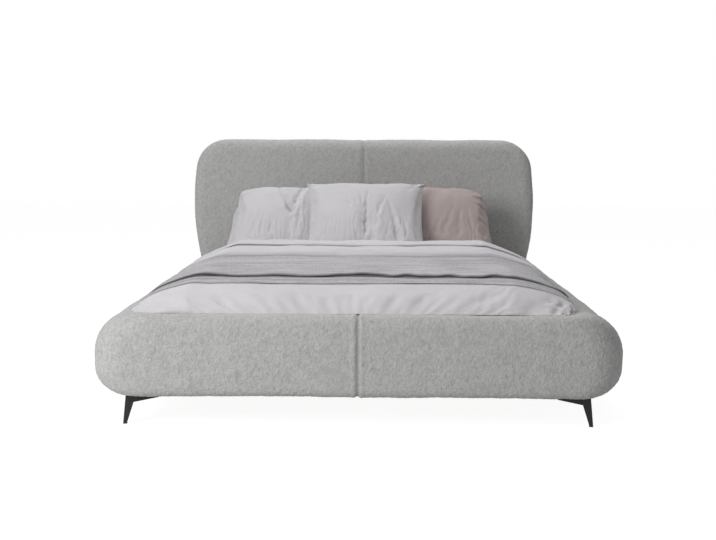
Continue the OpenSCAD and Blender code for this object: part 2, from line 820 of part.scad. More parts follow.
module leg_plate_holes() {
    for (p = [[16, 100], [16, 70], [44, 70], [66, 44], [100, 16]])
        translate([-p[1], p[0], 0]) cylinder(r = wood_screw_r + screw_clear, h = 80, center = true, $fn = 32);
}

module corner_leg() {
    translate([0, 0, leg_h]) difference() {
        union() {
            translate([0, 0, -leg_plate_t]) {
                translate([0, 0, eps]) leg_shape();
                linear_extrude(leg_plate_t) polygon(
                    [[0, 0], [0, leg_arm], [-20, leg_arm], [-leg_arm, 20], [-leg_arm, 0]]);
            }
        }
        leg_plate_holes();
    }
}

// Moves a leg drawn at the origin to its corner
module at_leg(front, right) {
    mirror([right ? 0 : 1, 0, 0])
        if (front) translate([frame_w / 2 - leg_inset_side, foot_y + leg_inset_front, 0]) children();
        else translate([frame_w / 2 - leg_inset_side, back_y - leg_rear_inset_back, 0]) mirror([0, 1, 0]) children();
}

module at_each_leg() {
    for (front = [true, false], right = [true, false]) at_leg(front, right) children();
}

module leg_front_left() { color(black_steel) at_leg(true, false) corner_leg(); }
module leg_front_right() { color(black_steel) at_leg(true, true) corner_leg(); }
module leg_rear_left() { color(black_steel) at_leg(false, false) corner_leg(); }
module leg_rear_right() { color(black_steel) at_leg(false, true) corner_leg(); }

module leg_screw_axes() {
    for (p = [[16, 100], [44, 70]]) translate([-p[1], p[0], leg_h - leg_plate_t]) children();
}

module leg_screw_holes() {
    at_each_leg() leg_screw_axes() cylinder(r = wood_screw_r + screw_clear, h = wood_screw_l + 6, $fn = 32);
}

module leg_screws() {
    color(zinc) at_each_leg() leg_screw_axes() bolt(wood_screw_r, wood_screw_head_r, 2, wood_screw_l);
}

module leg_glides() {
    shift = (leg_h - leg_plate_t - glide_t) * tan(leg_lean);
    color(black_plastic) at_each_leg() translate([shift, -shift, 0]) mirror([1, 0, 0])
        box(0, 0, 0, leg_tip_w, leg_tip_w, glide_t);
}

// Mattress and bedding

module mattress() {
    x = mattress_w / 2;
    y0 = well_foot_y + mattress_gap;
    y1 = well_head_y - mattress_gap;
    stations = concat(
        [for (t = [90 : -30 : 0]) [mattress_edge_r * (1 - cos(t)), mattress_edge_r * (1 - sin(t))]],
        [for (t = [0 : 30 : 90])
            [mattress_edge_r * (1 - cos(t)), mattress_h - mattress_edge_r * (1 - sin(t))]]);
    color(linen) loft([for (s = stations)
        [for (p = slab_outline(-x + s[0], y0 + s[0], x - s[0], y1 - s[0], mattress_corner_r - s[0]))
            [p[0], p[1], mattress_z + s[1]]]]);
}

module duvet_body() {
    h = duvet_top - duvet_z;
    loft([for (t = [0 : 15 : 90])
        let (x = duvet_x - duvet_side_r * (1 - cos(t)), e = duvet_shoulder_r * (1 - cos(t)))
        [for (p = slab_outline(-x, duvet_foot_y + e, x, duvet_head_y - e, duvet_corner_r))
            [p[0], p[1], duvet_z + h * sin(t)]]]);
}

// Height of the folded part above the duvet: it thickens from its turned edge to the head end
function duvet_fold_lift(y) = duvet_fold_t
    - (duvet_fold_t - duvet_fold_edge_t) * (duvet_head_y - y) / duvet_fold_l;

module duvet() {
    fold_x = duvet_x - duvet_side_r * 0.7;
    color(linen) difference() {
        union() {
            duvet_body();
            loft([for (t = [0 : 30 : 90])
                let (e = duvet_fold_edge_t * (1 - cos(t)))
                [for (p = slab_outline(-fold_x + e, duvet_head_y - duvet_fold_l + e, fold_x - e,
                    duvet_head_y - e - 4, duvet_fold_edge_t + 10 - e))
                    [p[0], p[1], duvet_top - 20 + (duvet_fold_lift(p[1]) + 20) * sin(t)]]]);
        }
        box(-well_x + mattress_gap - rest_gap, well_foot_y + mattress_gap - rest_gap, 0,
            well_x - mattress_gap + rest_gap, well_head_y, mattress_top + rest_gap);
    }
}

// Section of the throw between two heights above the duvet, from side to side
function throw_line(lift) = let (h = duvet_top - duvet_z)
    concat([[duvet_x + throw_t + lift, duvet_z]],
        [for (t = [0 : 15 : 90]) [duvet_x - duvet_side_r * (1 - cos(t)) + (lift + rest_gap) * cos(t),
            duvet_z + h * sin(t) + (lift + rest_gap) * sin(t)]]);
function throw_band(a, b) = let (low = throw_line(a), high = throw_line(b), n = len(low))
    concat([for (k = [1 : n - 1]) low[k]], [for (k = [n - 1 : -1 : 1]) [-low[k][0], low[k][1]]],
        [for (k = [1 : n - 1]) [-high[k][0], high[k][1]]], [for (k = [n - 1 : -1 : 1]) high[k]]);

module throw() {
    color(throw_grey) union() {
        along_y(throw_foot_y, throw_head_y) polygon(throw_band(0, throw_t));
        along_y(throw_foot_y + throw_step, throw_head_y) polygon(throw_band(throw_t - eps, 2 * throw_t));
    }
}

// Point (i, j) on the upper (s = 1) or lower (s = -1) face of a stuffed pillow
function pillow_swell(u, v) = pow(max(0, (1 - pow(u, 4)) * (1 - pow(v, 4))), 0.5) * 0.94 + 0.06;
function pillow_spot(w, h, t, i, j, s) = let (
    u = sin(90 * (2 * i / pillow_n - 1)), v = sin(90 * (2 * j / pillow_m - 1)))
    [w / 2 * u * (1 - 0.07 * (1 - v * v)), h / 2 * v * (1 - 0.08 * (1 - u * u)),
        s * t / 2 * pillow_swell(u, v)];

// Depth of a tilted pillow's lowest point below its centre
function pillow_drop(w, h, t, slope) = max([for (s = [1, -1], j = [0 : pillow_m], i = [0 : pillow_n])
    let (p = pillow_spot(w, h, t, i, j, s)) -p[1] * sin(slope) - p[2] * cos(slope)]);

// Stuffed pillow: crowned faces, drawn-in sides and pointed corners
module pillow(w, h, t) {
    n = pillow_n;
    m = pillow_m;
    points = [for (s = [1, -1], j = [0 : m], i = [0 : n]) pillow_spot(w, h, t, i, j, s)];
    back = (m + 1) * (n + 1);
    top = [for (j = [0 : m - 1], i = [0 : n - 1]) let (a = j * (n + 1) + i)
        each [[a, a + n + 2, a + 1], [a, a + n + 1, a + n + 2]]];
    low = [for (f = top) [f[0] + back, f[2] + back, f[1] + back]];
    rim = concat([for (i = [0 : n - 1]) i], [for (j = [0 : m - 1]) j * (n + 1) + n],
        [for (i = [n : -1 : 1]) m * (n + 1) + i], [for (j = [m : -1 : 1]) j * (n + 1)]);
    c = len(rim);
    walls = [for (k = [0 : c - 1]) let (a = rim[k], b = rim[(k + 1) % c])
        each [[a, b, b + back], [a, b + back, a + back]]];
    polyhedron(points, concat(top, low, walls));
}

// Distance that a tilted pillow reaches back from its centre
function pillow_reach(w, h, t, slope) = max([for (s = [1, -1], j = [0 : pillow_m], i = [0 : pillow_n])
    let (p = pillow_spot(w, h, t, i, j, s)) p[1] * cos(slope) - p[2] * sin(slope)]);

// A pillow that stands on the mattress and leans back, its middle at distance from_head
module leaning_pillow(w, h, t, x, from_head, slope) {
    translate([x, well_head_y - from_head, mattress_top + rest_gap + pillow_drop(w, h, t, slope)])
        rotate([slope, 0, 0]) pillow(w, h, t);
}
module rear_pillow(x) {
    leaning_pillow(rear_pillow_w, rear_pillow_h, rear_pillow_t, x, rear_pillow_y, rear_pillow_slope);
}
module side_pillow(x) {
    leaning_pillow(pillow_w, pillow_h, pillow_t, x, side_pillow_y, pillow_side_slope);
}

module pillow_rear_left() { color(linen) rear_pillow(-rear_left_x); }
module pillow_rear_right() { color(taupe) rear_pillow(rear_right_x); }
module pillow_left() { color(linen) side_pillow(-side_left_x); }
module pillow_right() { color(taupe) side_pillow(side_right_x); }
module pillow_center() {
    color(linen) leaning_pillow(pillow_w, pillow_h, pillow_t, center_x, center_pillow_y, pillow_slope);
}

headboard_cover();
headboard_foam();
headboard_frame();
headboard_back_panel();
footboard_cover();
footboard_foam();
footboard_frame();
rail_cover_left();
rail_cover_right();
rail_foam_left();
rail_foam_right();
rail_frame_left();
rail_frame_right();
slat_ledge_left();
slat_ledge_right();
ledge_screws();
slats_left();
slats_right();
side_caps_left();
side_caps_right();
center_caps();
center_beam();
beam_hanger_foot();
beam_hanger_head();
hanger_bolts();
support_leg_front();
support_leg_rear();
leg_insert_front();
leg_insert_rear();
levelling_foot_front();
levelling_foot_rear();
support_leg_screws();
bracket_front_left();
bracket_front_right();
bracket_rear_left();
bracket_rear_right();
bracket_bolts();
leg_front_left();
leg_front_right();
leg_rear_left();
leg_rear_right();
leg_screws();
leg_glides();
mattress();
duvet();
throw();
pillow_rear_left();
pillow_rear_right();
pillow_left();
pillow_right();
pillow_center();
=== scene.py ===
import json
import math

import bmesh
import bpy
import numpy as np
from mathutils import Matrix, Vector
from mathutils.bvhtree import BVHTree


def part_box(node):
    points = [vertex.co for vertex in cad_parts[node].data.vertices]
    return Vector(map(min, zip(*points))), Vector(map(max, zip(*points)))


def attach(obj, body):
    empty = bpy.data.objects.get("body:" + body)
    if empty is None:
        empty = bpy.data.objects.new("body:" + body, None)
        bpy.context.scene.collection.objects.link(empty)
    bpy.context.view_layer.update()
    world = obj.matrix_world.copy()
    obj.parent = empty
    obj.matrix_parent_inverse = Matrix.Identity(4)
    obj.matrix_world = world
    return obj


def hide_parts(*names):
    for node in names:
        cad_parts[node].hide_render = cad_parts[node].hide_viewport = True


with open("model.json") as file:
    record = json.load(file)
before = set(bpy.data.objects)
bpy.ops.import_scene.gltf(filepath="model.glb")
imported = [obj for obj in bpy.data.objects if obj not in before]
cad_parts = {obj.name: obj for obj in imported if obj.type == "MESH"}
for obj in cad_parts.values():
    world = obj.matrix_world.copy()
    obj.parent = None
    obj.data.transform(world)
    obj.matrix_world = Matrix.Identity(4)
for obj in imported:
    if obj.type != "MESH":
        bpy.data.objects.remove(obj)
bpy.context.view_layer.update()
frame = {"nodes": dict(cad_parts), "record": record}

bl_info = {
    "name": "Upholstered Bed",
    "version": (1, 0, 0),
    "blender": (4, 5, 0),
    "location": "3D View > Sidebar > Bed",
    "description": "Dresses the packed model of an upholstered bed in looped fabric and bedding",
    "category": "Object",
}

MM = 0.001


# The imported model's measures

HEAD_LOW, HEAD_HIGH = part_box("headboard_cover")
FOOT_LOW, FOOT_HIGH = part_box("footboard_cover")
RAIL_LOW, RAIL_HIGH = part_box("rail_cover_right")
BASE_LOW, BASE_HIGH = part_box("mattress")
DUVET_LOW, DUVET_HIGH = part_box("duvet")
THROW_LOW, THROW_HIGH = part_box("throw")

# Radius of the rails' and the footboard's lower outer edge
LOW_EDGE = 104 * MM
# Width of the headboard's cover that is folded on to its back
BACK_FOLD = 58 * MM
# Height of the duvet's top without its folded-back head end
DUVET_TOP = BASE_HIGH.z + 36 * MM
# Distance by which the duvet's foot hem lies further out than its solid
DUVET_OUT = 34 * MM
# Length of the duvet's head end that is folded back
FOLDED_BACK = 280 * MM
# Height of the duvet's under side where it lies on the frame
DUVET_REST = DUVET_LOW.z - 0.5 * MM
# Width, height and thickness of the pillows when they lie flat
REAR_PILLOW = (0.725, 0.45, 0.15)
FRONT_PILLOW = (0.625, 0.49, 0.15)


# Colours and node trees

def linear(code):
    """Linear RGBA of an sRGB hex colour."""
    parts = [int(code[i:i + 2], 16) / 255 for i in (1, 3, 5)]
    return tuple(c / 12.92 if c <= 0.04045 else ((c + 0.055) / 1.055) ** 2.4 for c in parts) + (1.0,)


def add(tree, kind, inputs=None, stops=(), **settings):
    """Adds a node with its settings and inputs, each a value or the socket that feeds it.

    The stops of a colour ramp are (place, linear colour).
    """
    made = tree.nodes.new(kind)
    for key, value in settings.items():
        setattr(made, key, value)
    for key, value in (inputs or {}).items():
        if isinstance(value, bpy.types.NodeSocket):
            tree.links.new(value, made.inputs[key])
        else:
            made.inputs[key].default_value = value
    for _ in stops[2:]:
        made.color_ramp.elements.new(0.5)
    for k, (place, colour) in enumerate(stops):
        step = made.color_ramp.elements[k]
        step.position, step.color = place, colour
    return made


def new_material(name):
    """Empty material and its node tree."""
    material = bpy.data.materials.new(name)
    material.use_nodes = True
    material.node_tree.nodes.clear()
    return material, material.node_tree


def stretched(tree, source, per_metre):
    """Coordinates of a pattern that repeats about per_metre times in a metre each way."""
    where = add(tree, "ShaderNodeTexCoord").outputs[source]
    return add(tree, "ShaderNodeMapping", {"Scale": per_metre, "Vector": where}).outputs[0]


def summed(tree, *parts):
    """Sum of sockets, each times its weight."""
    total = None
    for socket, weight in parts:
        part = add(tree, "ShaderNodeMath", {0: socket, 1: weight}, operation="MULTIPLY").outputs[0]
        if total is None:
            total = part
        else:
            total = add(tree, "ShaderNodeMath", {0: total, 1: part}, operation="ADD").outputs[0]
    return total


def finish_surface(tree, colour, rough, relief, depth, **fixed):
    """Principled shader joined to the output; its relief is a socket, and depth the relief's height."""
    inputs = {key.replace("_", " "): value for key, value in fixed.items()}
    shader = add(tree, "ShaderNodeBsdfPrincipled", {"Base Color": colour, "Roughness": rough, **inputs})
    bump = add(tree, "ShaderNodeBump", {"Distance": depth, "Strength": 1.0, "Height": relief})
    tree.links.new(bump.outputs[0], shader.inputs["Normal"])
    add(tree, "ShaderNodeOutputMaterial", {"Surface": shader.outputs[0]})


# Materials

def looped_fabric(look):
    """Boucle of wool and acrylic loops: a mottled matt nap, with painted light on the loops and painted shade
    between them.
    """
    material, tree = new_material("looped boucle fabric")
    point = add(tree, "ShaderNodeTexCoord").outputs["Object"]
    pile = add(tree, "ShaderNodeAttribute", attribute_name="pile").outputs["Fac"]
    # Single loops of yarn are 3 to 5 mm, drawn at 6 mm because finer ones do not show
    loops = add(tree, "ShaderNodeTexVoronoi", {"Scale": 1 / (6 * MM), "Smoothness": 0.5, "Vector": point},
                feature="SMOOTH_F1").outputs["Distance"]
    yarn = add(tree, "ShaderNodeTexNoise", {"Scale": 1 / (2.2 * MM), "Vector": point}).outputs[0]
    clumps = add(tree, "ShaderNodeTexNoise",
                 {"Scale": 1 / (26 * MM), "Detail": 3.0, "Roughness": 0.6, "Vector": point}).outputs[0]
    # The tone is painted shade where the pile is low and between the loops, and random mottling from the
    # clumps and the yarn
    tone = summed(tree, (pile, 0.3), (clumps, 0.14), (yarn, 0.5), (loops, -0.22))
    stops = ((0.08, look["shade"]), (0.4, look["colour"]), (0.8, look["light"]))
    colour = add(tree, "ShaderNodeValToRGB", {"Fac": tone}, stops).outputs[0]
    relief = summed(tree, (loops, -0.9), (yarn, 0.35), (clumps, 0.5))
    finish_surface(tree, colour, 0.95, relief, 2.2 * MM, Sheen_Weight=0.18, Sheen_Roughness=0.5,
                   Specular_IOR_Level=0.2)
    return material


def percale(name, colour):
    """Washed cotton: matt, a fine plain weave and a faint crumple from folding."""
    material, tree = new_material(name)
    point = add(tree, "ShaderNodeTexCoord").outputs["Object"]
    # The thread is 0.3 mm, drawn at 1.6 mm because a finer weave does not show
    weave = add(tree, "ShaderNodeTexNoise", {"Scale": 1 / (1.6 * MM), "Vector": point}).outputs[0]
    crumple = {"Scale": 1 / (55 * MM), "Detail": 4.0, "Roughness": 0.55, "Distortion": 0.6, "Vector": point}
    crumpled = add(tree, "ShaderNodeTexNoise", crumple).outputs[0]
    cloudy = add(tree, "ShaderNodeTexNoise", {"Scale": 1 / (180 * MM), "Vector": point}).outputs[0]
    tone = summed(tree, (weave, 0.3), (crumpled, 0.3), (cloudy, 0.4))
    dark = tuple(c * 0.93 for c in colour[:3]) + (1.0,)
    light = tuple(min(1.0, c * 1.04) for c in colour[:3]) + (1.0,)
    shown = add(tree, "ShaderNodeValToRGB", {"Fac": tone}, ((0.3, dark), (0.7, light))).outputs[0]
    relief = summed(tree, (crumpled, 0.5), (weave, 0.12))
    finish_surface(tree, shown, 0.82, relief, 3 * MM, Sheen_Weight=0.12, Sheen_Roughness=0.4,
                   Specular_IOR_Level=0.3)
    return material


def slub_linen(look):
    """Slub linen: dry and matt, its thick and thin threads showing as streaks along the weft."""
    material, tree = new_material("slub linen throw")
    cloth = add(tree, "ShaderNodeTexCoord").outputs["UV"]
    # Slubs are about 170 mm long and 5 mm wide, in bands of 24 mm, and the UV map is in metres
    streaks = []
    for per_metre, detail, rough in (((6, 190, 1), 3.0, 0.55), ((1.2, 42, 1), 2.0, 0.5),
                                     ((90, 420, 1), 2.0, 0.5), ((260, 12, 1), 2.0, 0.5)):
        inputs = {"Scale": 1.0, "Detail": detail, "Roughness": rough,
                  "Vector": stretched(tree, "UV", per_metre)}
        streaks.append(add(tree, "ShaderNodeTexNoise", inputs).outputs[0])
    slubs, bands, threads, warp = streaks
    cloudy = add(tree, "ShaderNodeTexNoise", {"Scale": 5.0, "Vector": cloth}).outputs[0]
    tone = summed(tree, (slubs, 0.5), (bands, 0.3), (threads, 0.2), (warp, 0.22), (cloudy, 0.12))
    stops = ((0.54, look["shade"]), (0.66, look["colour"]), (0.79, look["light"]))
    woven = add(tree, "ShaderNodeValToRGB", {"Fac": tone}, stops).outputs[0]
    # The front edge is woven of charcoal threads, which end unevenly; the same dark colour is also painted
    # shade under the front roll, on the lower layer in front of it and along the far fold
    edge = add(tree, "ShaderNodeAttribute", attribute_name="edge").outputs["Fac"]
    uneven = summed(tree, (edge, 1.0), (slubs, 0.9), (threads, 0.5))
    fringe_and_shade = add(tree, "ShaderNodeMapRange", {"From Min": 0.9, "From Max": 1.5, "Value": uneven}).outputs[0]
    edged_and_shaded = add(tree, "ShaderNodeMix", {0: fringe_and_shade, 6: woven, 7: look["fringe_and_shade"]}, data_type="RGBA").outputs[2]
    # Threads are drawn out in a band 50 to 85 mm from the lower hem, which is darker for it
    place = add(tree, "ShaderNodeSeparateXYZ", {0: cloth}).outputs["Y"]
    dense, thin = (1, 1, 1, 1), (0.8, 0.8, 0.8, 1)
    stops = ((0.048, dense), (0.056, thin), (0.08, thin), (0.09, dense))
    drawn = add(tree, "ShaderNodeValToRGB", {"Fac": place}, stops).outputs[0]
    colour = add(tree, "ShaderNodeMix", {0: 1.0, 6: edged_and_shaded, 7: drawn}, data_type="RGBA",
                 blend_type="MULTIPLY").outputs[2]
    relief = summed(tree, (slubs, 0.9), (threads, 0.5), (warp, 0.25), (bands, 0.5))
    finish_surface(tree, colour, 0.9, relief, 2.0 * MM, Sheen_Weight=0.1, Sheen_Roughness=0.5,
                   Specular_IOR_Level=0.2)
    return material


def knitted_ticking():
    """Knitted polyester ticking: white, soft, with a small raised stitch."""
    material, tree = new_material("knitted ticking")
    point = add(tree, "ShaderNodeTexCoord").outputs["Object"]
    # A knitted stitch is about 2 mm, drawn at 4 mm so that it shows
    stitch = add(tree, "ShaderNodeTexVoronoi", {"Scale": 1 / (4 * MM), "Vector": point}).outputs["Distance"]
    cloudy = add(tree, "ShaderNodeTexNoise", {"Scale": 1 / (140 * MM), "Vector": point}).outputs[0]
    tone = summed(tree, (stitch, 0.5), (cloudy, 0.5))
    stops = ((0.2, linear("#ecebe8")), (0.7, linear("#dedcd8")))
    colour = add(tree, "ShaderNodeValToRGB", {"Fac": tone}, stops).outputs[0]
    finish_surface(tree, colour, 0.88, summed(tree, (stitch, -1.0)), 0.8 * MM, Sheen_Weight=0.1)
    return material


def planed_wood(name, early, late, grain, rough):
    """Planed bare wood: straight grain along its length and small dark pores."""
    material, tree = new_material(name)
    # The grain is given in streaks per metre each way, few along the piece, and pores are six times finer
    along, finer = stretched(tree, "Object", grain), stretched(tree, "Object", tuple(6 * g for g in grain))
    rings = add(tree, "ShaderNodeTexNoise",
                {"Scale": 1.0, "Detail": 3.0, "Distortion": 0.8, "Vector": along}).outputs[0]
    pores = add(tree, "ShaderNodeTexNoise", {"Scale": 1.0, "Roughness": 0.6, "Vector": finer}).outputs[0]
    tone = summed(tree, (rings, 0.8), (pores, 0.25))
    stops = ((0.35, late), (0.55, early), (0.8, tuple(min(1.0, 1.12 * c) for c in early)))
    colour = add(tree, "ShaderNodeValToRGB", {"Fac": tone}, stops).outputs[0]
    finish_surface(tree, colour, rough, tone, 0.4 * MM, Specular_IOR_Level=0.4)
    return material


def powder_coat(look):
    """Black powder-coated steel: satin, with the slight orange peel that the baked powder leaves."""
    material, tree = new_material("black powder coated steel")
    point = add(tree, "ShaderNodeTexCoord").outputs["Object"]
    # The peel is about 1.5 mm from crest to crest
    peel = add(tree, "ShaderNodeTexNoise", {"Scale": 1 / (1.5 * MM), "Vector": point}).outputs[0]
    dust = add(tree, "ShaderNodeTexNoise",
               {"Scale": 1 / (30 * MM), "Detail": 3.0, "Vector": point}).outputs[0]
    tone = summed(tree, (peel, 0.5), (dust, 0.5))
    rough = add(tree, "ShaderNodeMapRange", {"To Min": 0.38, "To Max": 0.54, "Value": dust}).outputs[0]
    stops = ((0.3, look["shade"]), (0.75, look["light"]))
    colour = add(tree, "ShaderNodeValToRGB", {"Fac": tone}, stops).outputs[0]
    finish_surface(tree, colour, rough, peel, 0.15 * MM, Specular_IOR_Level=0.35)
    return material


def zinc_plate():
    """Bright zinc-plated steel: cool grey metal with the faint blotches of the bath."""
    material, tree = new_material("zinc plated steel")
    point = add(tree, "ShaderNodeTexCoord").outputs["Object"]
    blotches = add(tree, "ShaderNodeTexNoise",
                   {"Scale": 1 / (6 * MM), "Detail": 3.0, "Vector": point}).outputs[0]
    rough = add(tree, "ShaderNodeMapRange", {"To Min": 0.28, "To Max": 0.46, "Value": blotches}).outputs[0]
    stops = ((0.3, linear("#a4a7a9")), (0.7, linear("#c4c6c5")))
    colour = add(tree, "ShaderNodeValToRGB", {"Fac": blotches}, stops).outputs[0]
    finish_surface(tree, colour, rough, blotches, 0.05 * MM, Metallic=1.0)
    return material


def moulded_nylon():
    """Glass-filled nylon: black, moulded with a fine spark-eroded grain."""
    material, tree = new_material("black moulded nylon")
    point = add(tree, "ShaderNodeTexCoord").outputs["Object"]
    # The grain is 0.2 mm, drawn at 0.9 mm so that it shows
    grain = add(tree, "ShaderNodeTexNoise", {"Scale": 1 / (0.9 * MM), "Vector": point}).outputs[0]
    stops = ((0.3, linear("#161618")), (0.7, linear("#242427")))
    colour = add(tree, "ShaderNodeValToRGB", {"Fac": grain}, stops).outputs[0]
    finish_surface(tree, colour, 0.55, grain, 0.12 * MM, Specular_IOR_Level=0.5)
    return material


def spunbond():
    """Spunbond dust cloth: thin black polypropylene, pressed with a grid of small points."""
    material, tree = new_material("spunbond dust cloth")
    point = add(tree, "ShaderNodeTexCoord").outputs["Object"]
    # Bond points are 2 mm apart, drawn at 5 mm so that they show
    bonds = add(tree, "ShaderNodeTexVoronoi",
                {"Scale": 1 / (5 * MM), "Randomness": 0.25, "Vector": point}).outputs["Distance"]
    fibres = add(tree, "ShaderNodeTexNoise",
                 {"Scale": 1 / (3 * MM), "Detail": 4.0, "Roughness": 0.7, "Vector": point}).outputs[0]
    tone = summed(tree, (bonds, 0.6), (fibres, 0.5))
    stops = ((0.3, linear("#1c1c1e")), (0.8, linear("#343437")))
    colour = add(tree, "ShaderNodeValToRGB", {"Fac": tone}, stops).outputs[0]
    finish_surface(tree, colour, 0.8, tone, 0.3 * MM, Sheen_Weight=0.15)
    return material


def cut_foam():
    """Polyurethane foam as cut: pale yellow and open-celled."""
    material, tree = new_material("cut polyurethane foam")
    point = add(tree, "ShaderNodeTexCoord").outputs["Object"]
    # Cells are under 1 mm, drawn at 3 mm so that they show
    cells = add(tree, "ShaderNodeTexVoronoi", {"Scale": 1 / (3 * MM), "Vector": point}).outputs["Distance"]
    stops = ((0.1, linear("#e8dcae")), (0.7, linear("#cdbd86")))
    colour = add(tree, "ShaderNodeValToRGB", {"Fac": cells}, stops).outputs[0]
    finish_surface(tree, colour, 0.95, cells, 1.0 * MM)
    return material


# Meshes

def mesh_object(name, points, faces, edges=()):
    """Smooth-shaded mesh object in the scene, standing at the origin."""
    mesh = bpy.data.meshes.new(name)
    mesh.from_pydata([tuple(p) for p in points], edges, faces)
    mesh.validate()
    mesh.shade_smooth()
    made = bpy.data.objects.new(name, mesh)
    bpy.context.scene.collection.objects.link(made)
    return made


def points_of(made):
    """Positions of an object's vertices as rows of an array."""
    found = np.empty(len(made.data.vertices) * 3)
    made.data.vertices.foreach_get("co", found)
    return found.reshape(-1, 3)


def normals_of(made):
    """Vertex normals as rows of an array."""
    found = np.empty(len(made.data.vertices) * 3, dtype=np.float32)
    made.data.vertex_normals.foreach_get("vector", found)
    return found.reshape(-1, 3).astype(float)


def move_points(made, places):
    """Puts an object's vertices at the rows of an array."""
    made.data.vertices.foreach_set("co", np.ascontiguousarray(places, dtype=float).ravel())
    made.data.update()


def settled(made):
    """Replaces an object's mesh with what its modifiers make of it, and removes them."""
    graph = bpy.context.evaluated_depsgraph_get()
    mesh = bpy.data.meshes.new_from_object(made.evaluated_get(graph), preserve_all_data_layers=True,
                                           depsgraph=graph)
    made.modifiers.clear()
    old, made.data = made.data, mesh
    bpy.data.meshes.remove(old)
    return made


def face_outwards(made):
    """Turns every face of a closed mesh outwards."""
    work = bmesh.new()
    work.from_mesh(made.data)
    bmesh.ops.remove_doubles(work, verts=work.verts, dist=0.01 * MM)
    bmesh.ops.recalc_face_normals(work, faces=work.faces)
    work.to_mesh(made.data)
    work.free()
    made.data.shade_smooth()


def skin(name, rings):
    """Closed mesh through rings of equally many points, its two ends filled."""
    count = len(rings[0])
    last = (len(rings) - 1) * count
    faces = []
    for start in range(0, last, count):
        for i in range(count):
            k = (i + 1) % count
            faces.append((start + i, start + k, start + count + k, start + count + i))
    faces += [tuple(range(count - 1, -1, -1)), tuple(range(last, last + count))]
    made = mesh_object(name, [p for ring in rings for p in ring], faces)
    face_outwards(made)
    return made


def remeshed(made, voxel, passes):
    """Covers a closed form evenly in small faces and smooths their steps away."""
    remesh = made.modifiers.new("even faces", "REMESH")
    remesh.mode, remesh.voxel_size, remesh.use_smooth_shade = "VOXEL", voxel, True
    smooth = made.modifiers.new("ease", "SMOOTH")
    smooth.factor, smooth.iterations = 0.5, passes
    return settled(made)


def dress(made, material, body, slot, *nodes):
    """Gives a finished piece its material and its body, and hides the CAD nodes that it stands for. The slot
    is not used.
    """
    made.data.materials.clear()
    made.data.materials.append(material)
    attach(made, body)
    if nodes:
        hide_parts(*nodes)


def arc(cx, cy, r, start, end, steps):
    """Points along an arc, its angles in degrees."""
    turns = [math.radians(start + (end - start) * i / steps) for i in range(steps + 1)]
    return [(cx + r * math.cos(t), cy + r * math.sin(t)) for t in turns]


def round_cut(r, d):
    """Depth that a quarter round of radius r still cuts away at distance d from the edge."""
    return 0.0 if d >= r else r - math.sqrt(max(0.0, r * r - (r - d) ** 2))


def eased(x, low, high):
    """Smooth step of an array from 0 at low to 1 at high."""
    t = np.clip((x - low) / (high - low), 0, 1)
    return t * t * (3 - 2 * t)


def swell(points, seed, wave):
    """Smooth random field over points, about -1 to 1: sines of random direction in three wavelengths."""
    draw = np.random.default_rng(seed)
    total = np.zeros(len(points))
    for k in range(3):
        for _ in range(7):
            way = draw.normal(size=3)
            way *= 2 * math.pi / (wave / 1.9 ** k) * draw.uniform(0.7, 1.3) / np.linalg.norm(way)
            total += np.sin(points @ way + draw.uniform(0, 2 * math.pi)) * 0.55 ** k
    return total / 3.2


# Upholstery

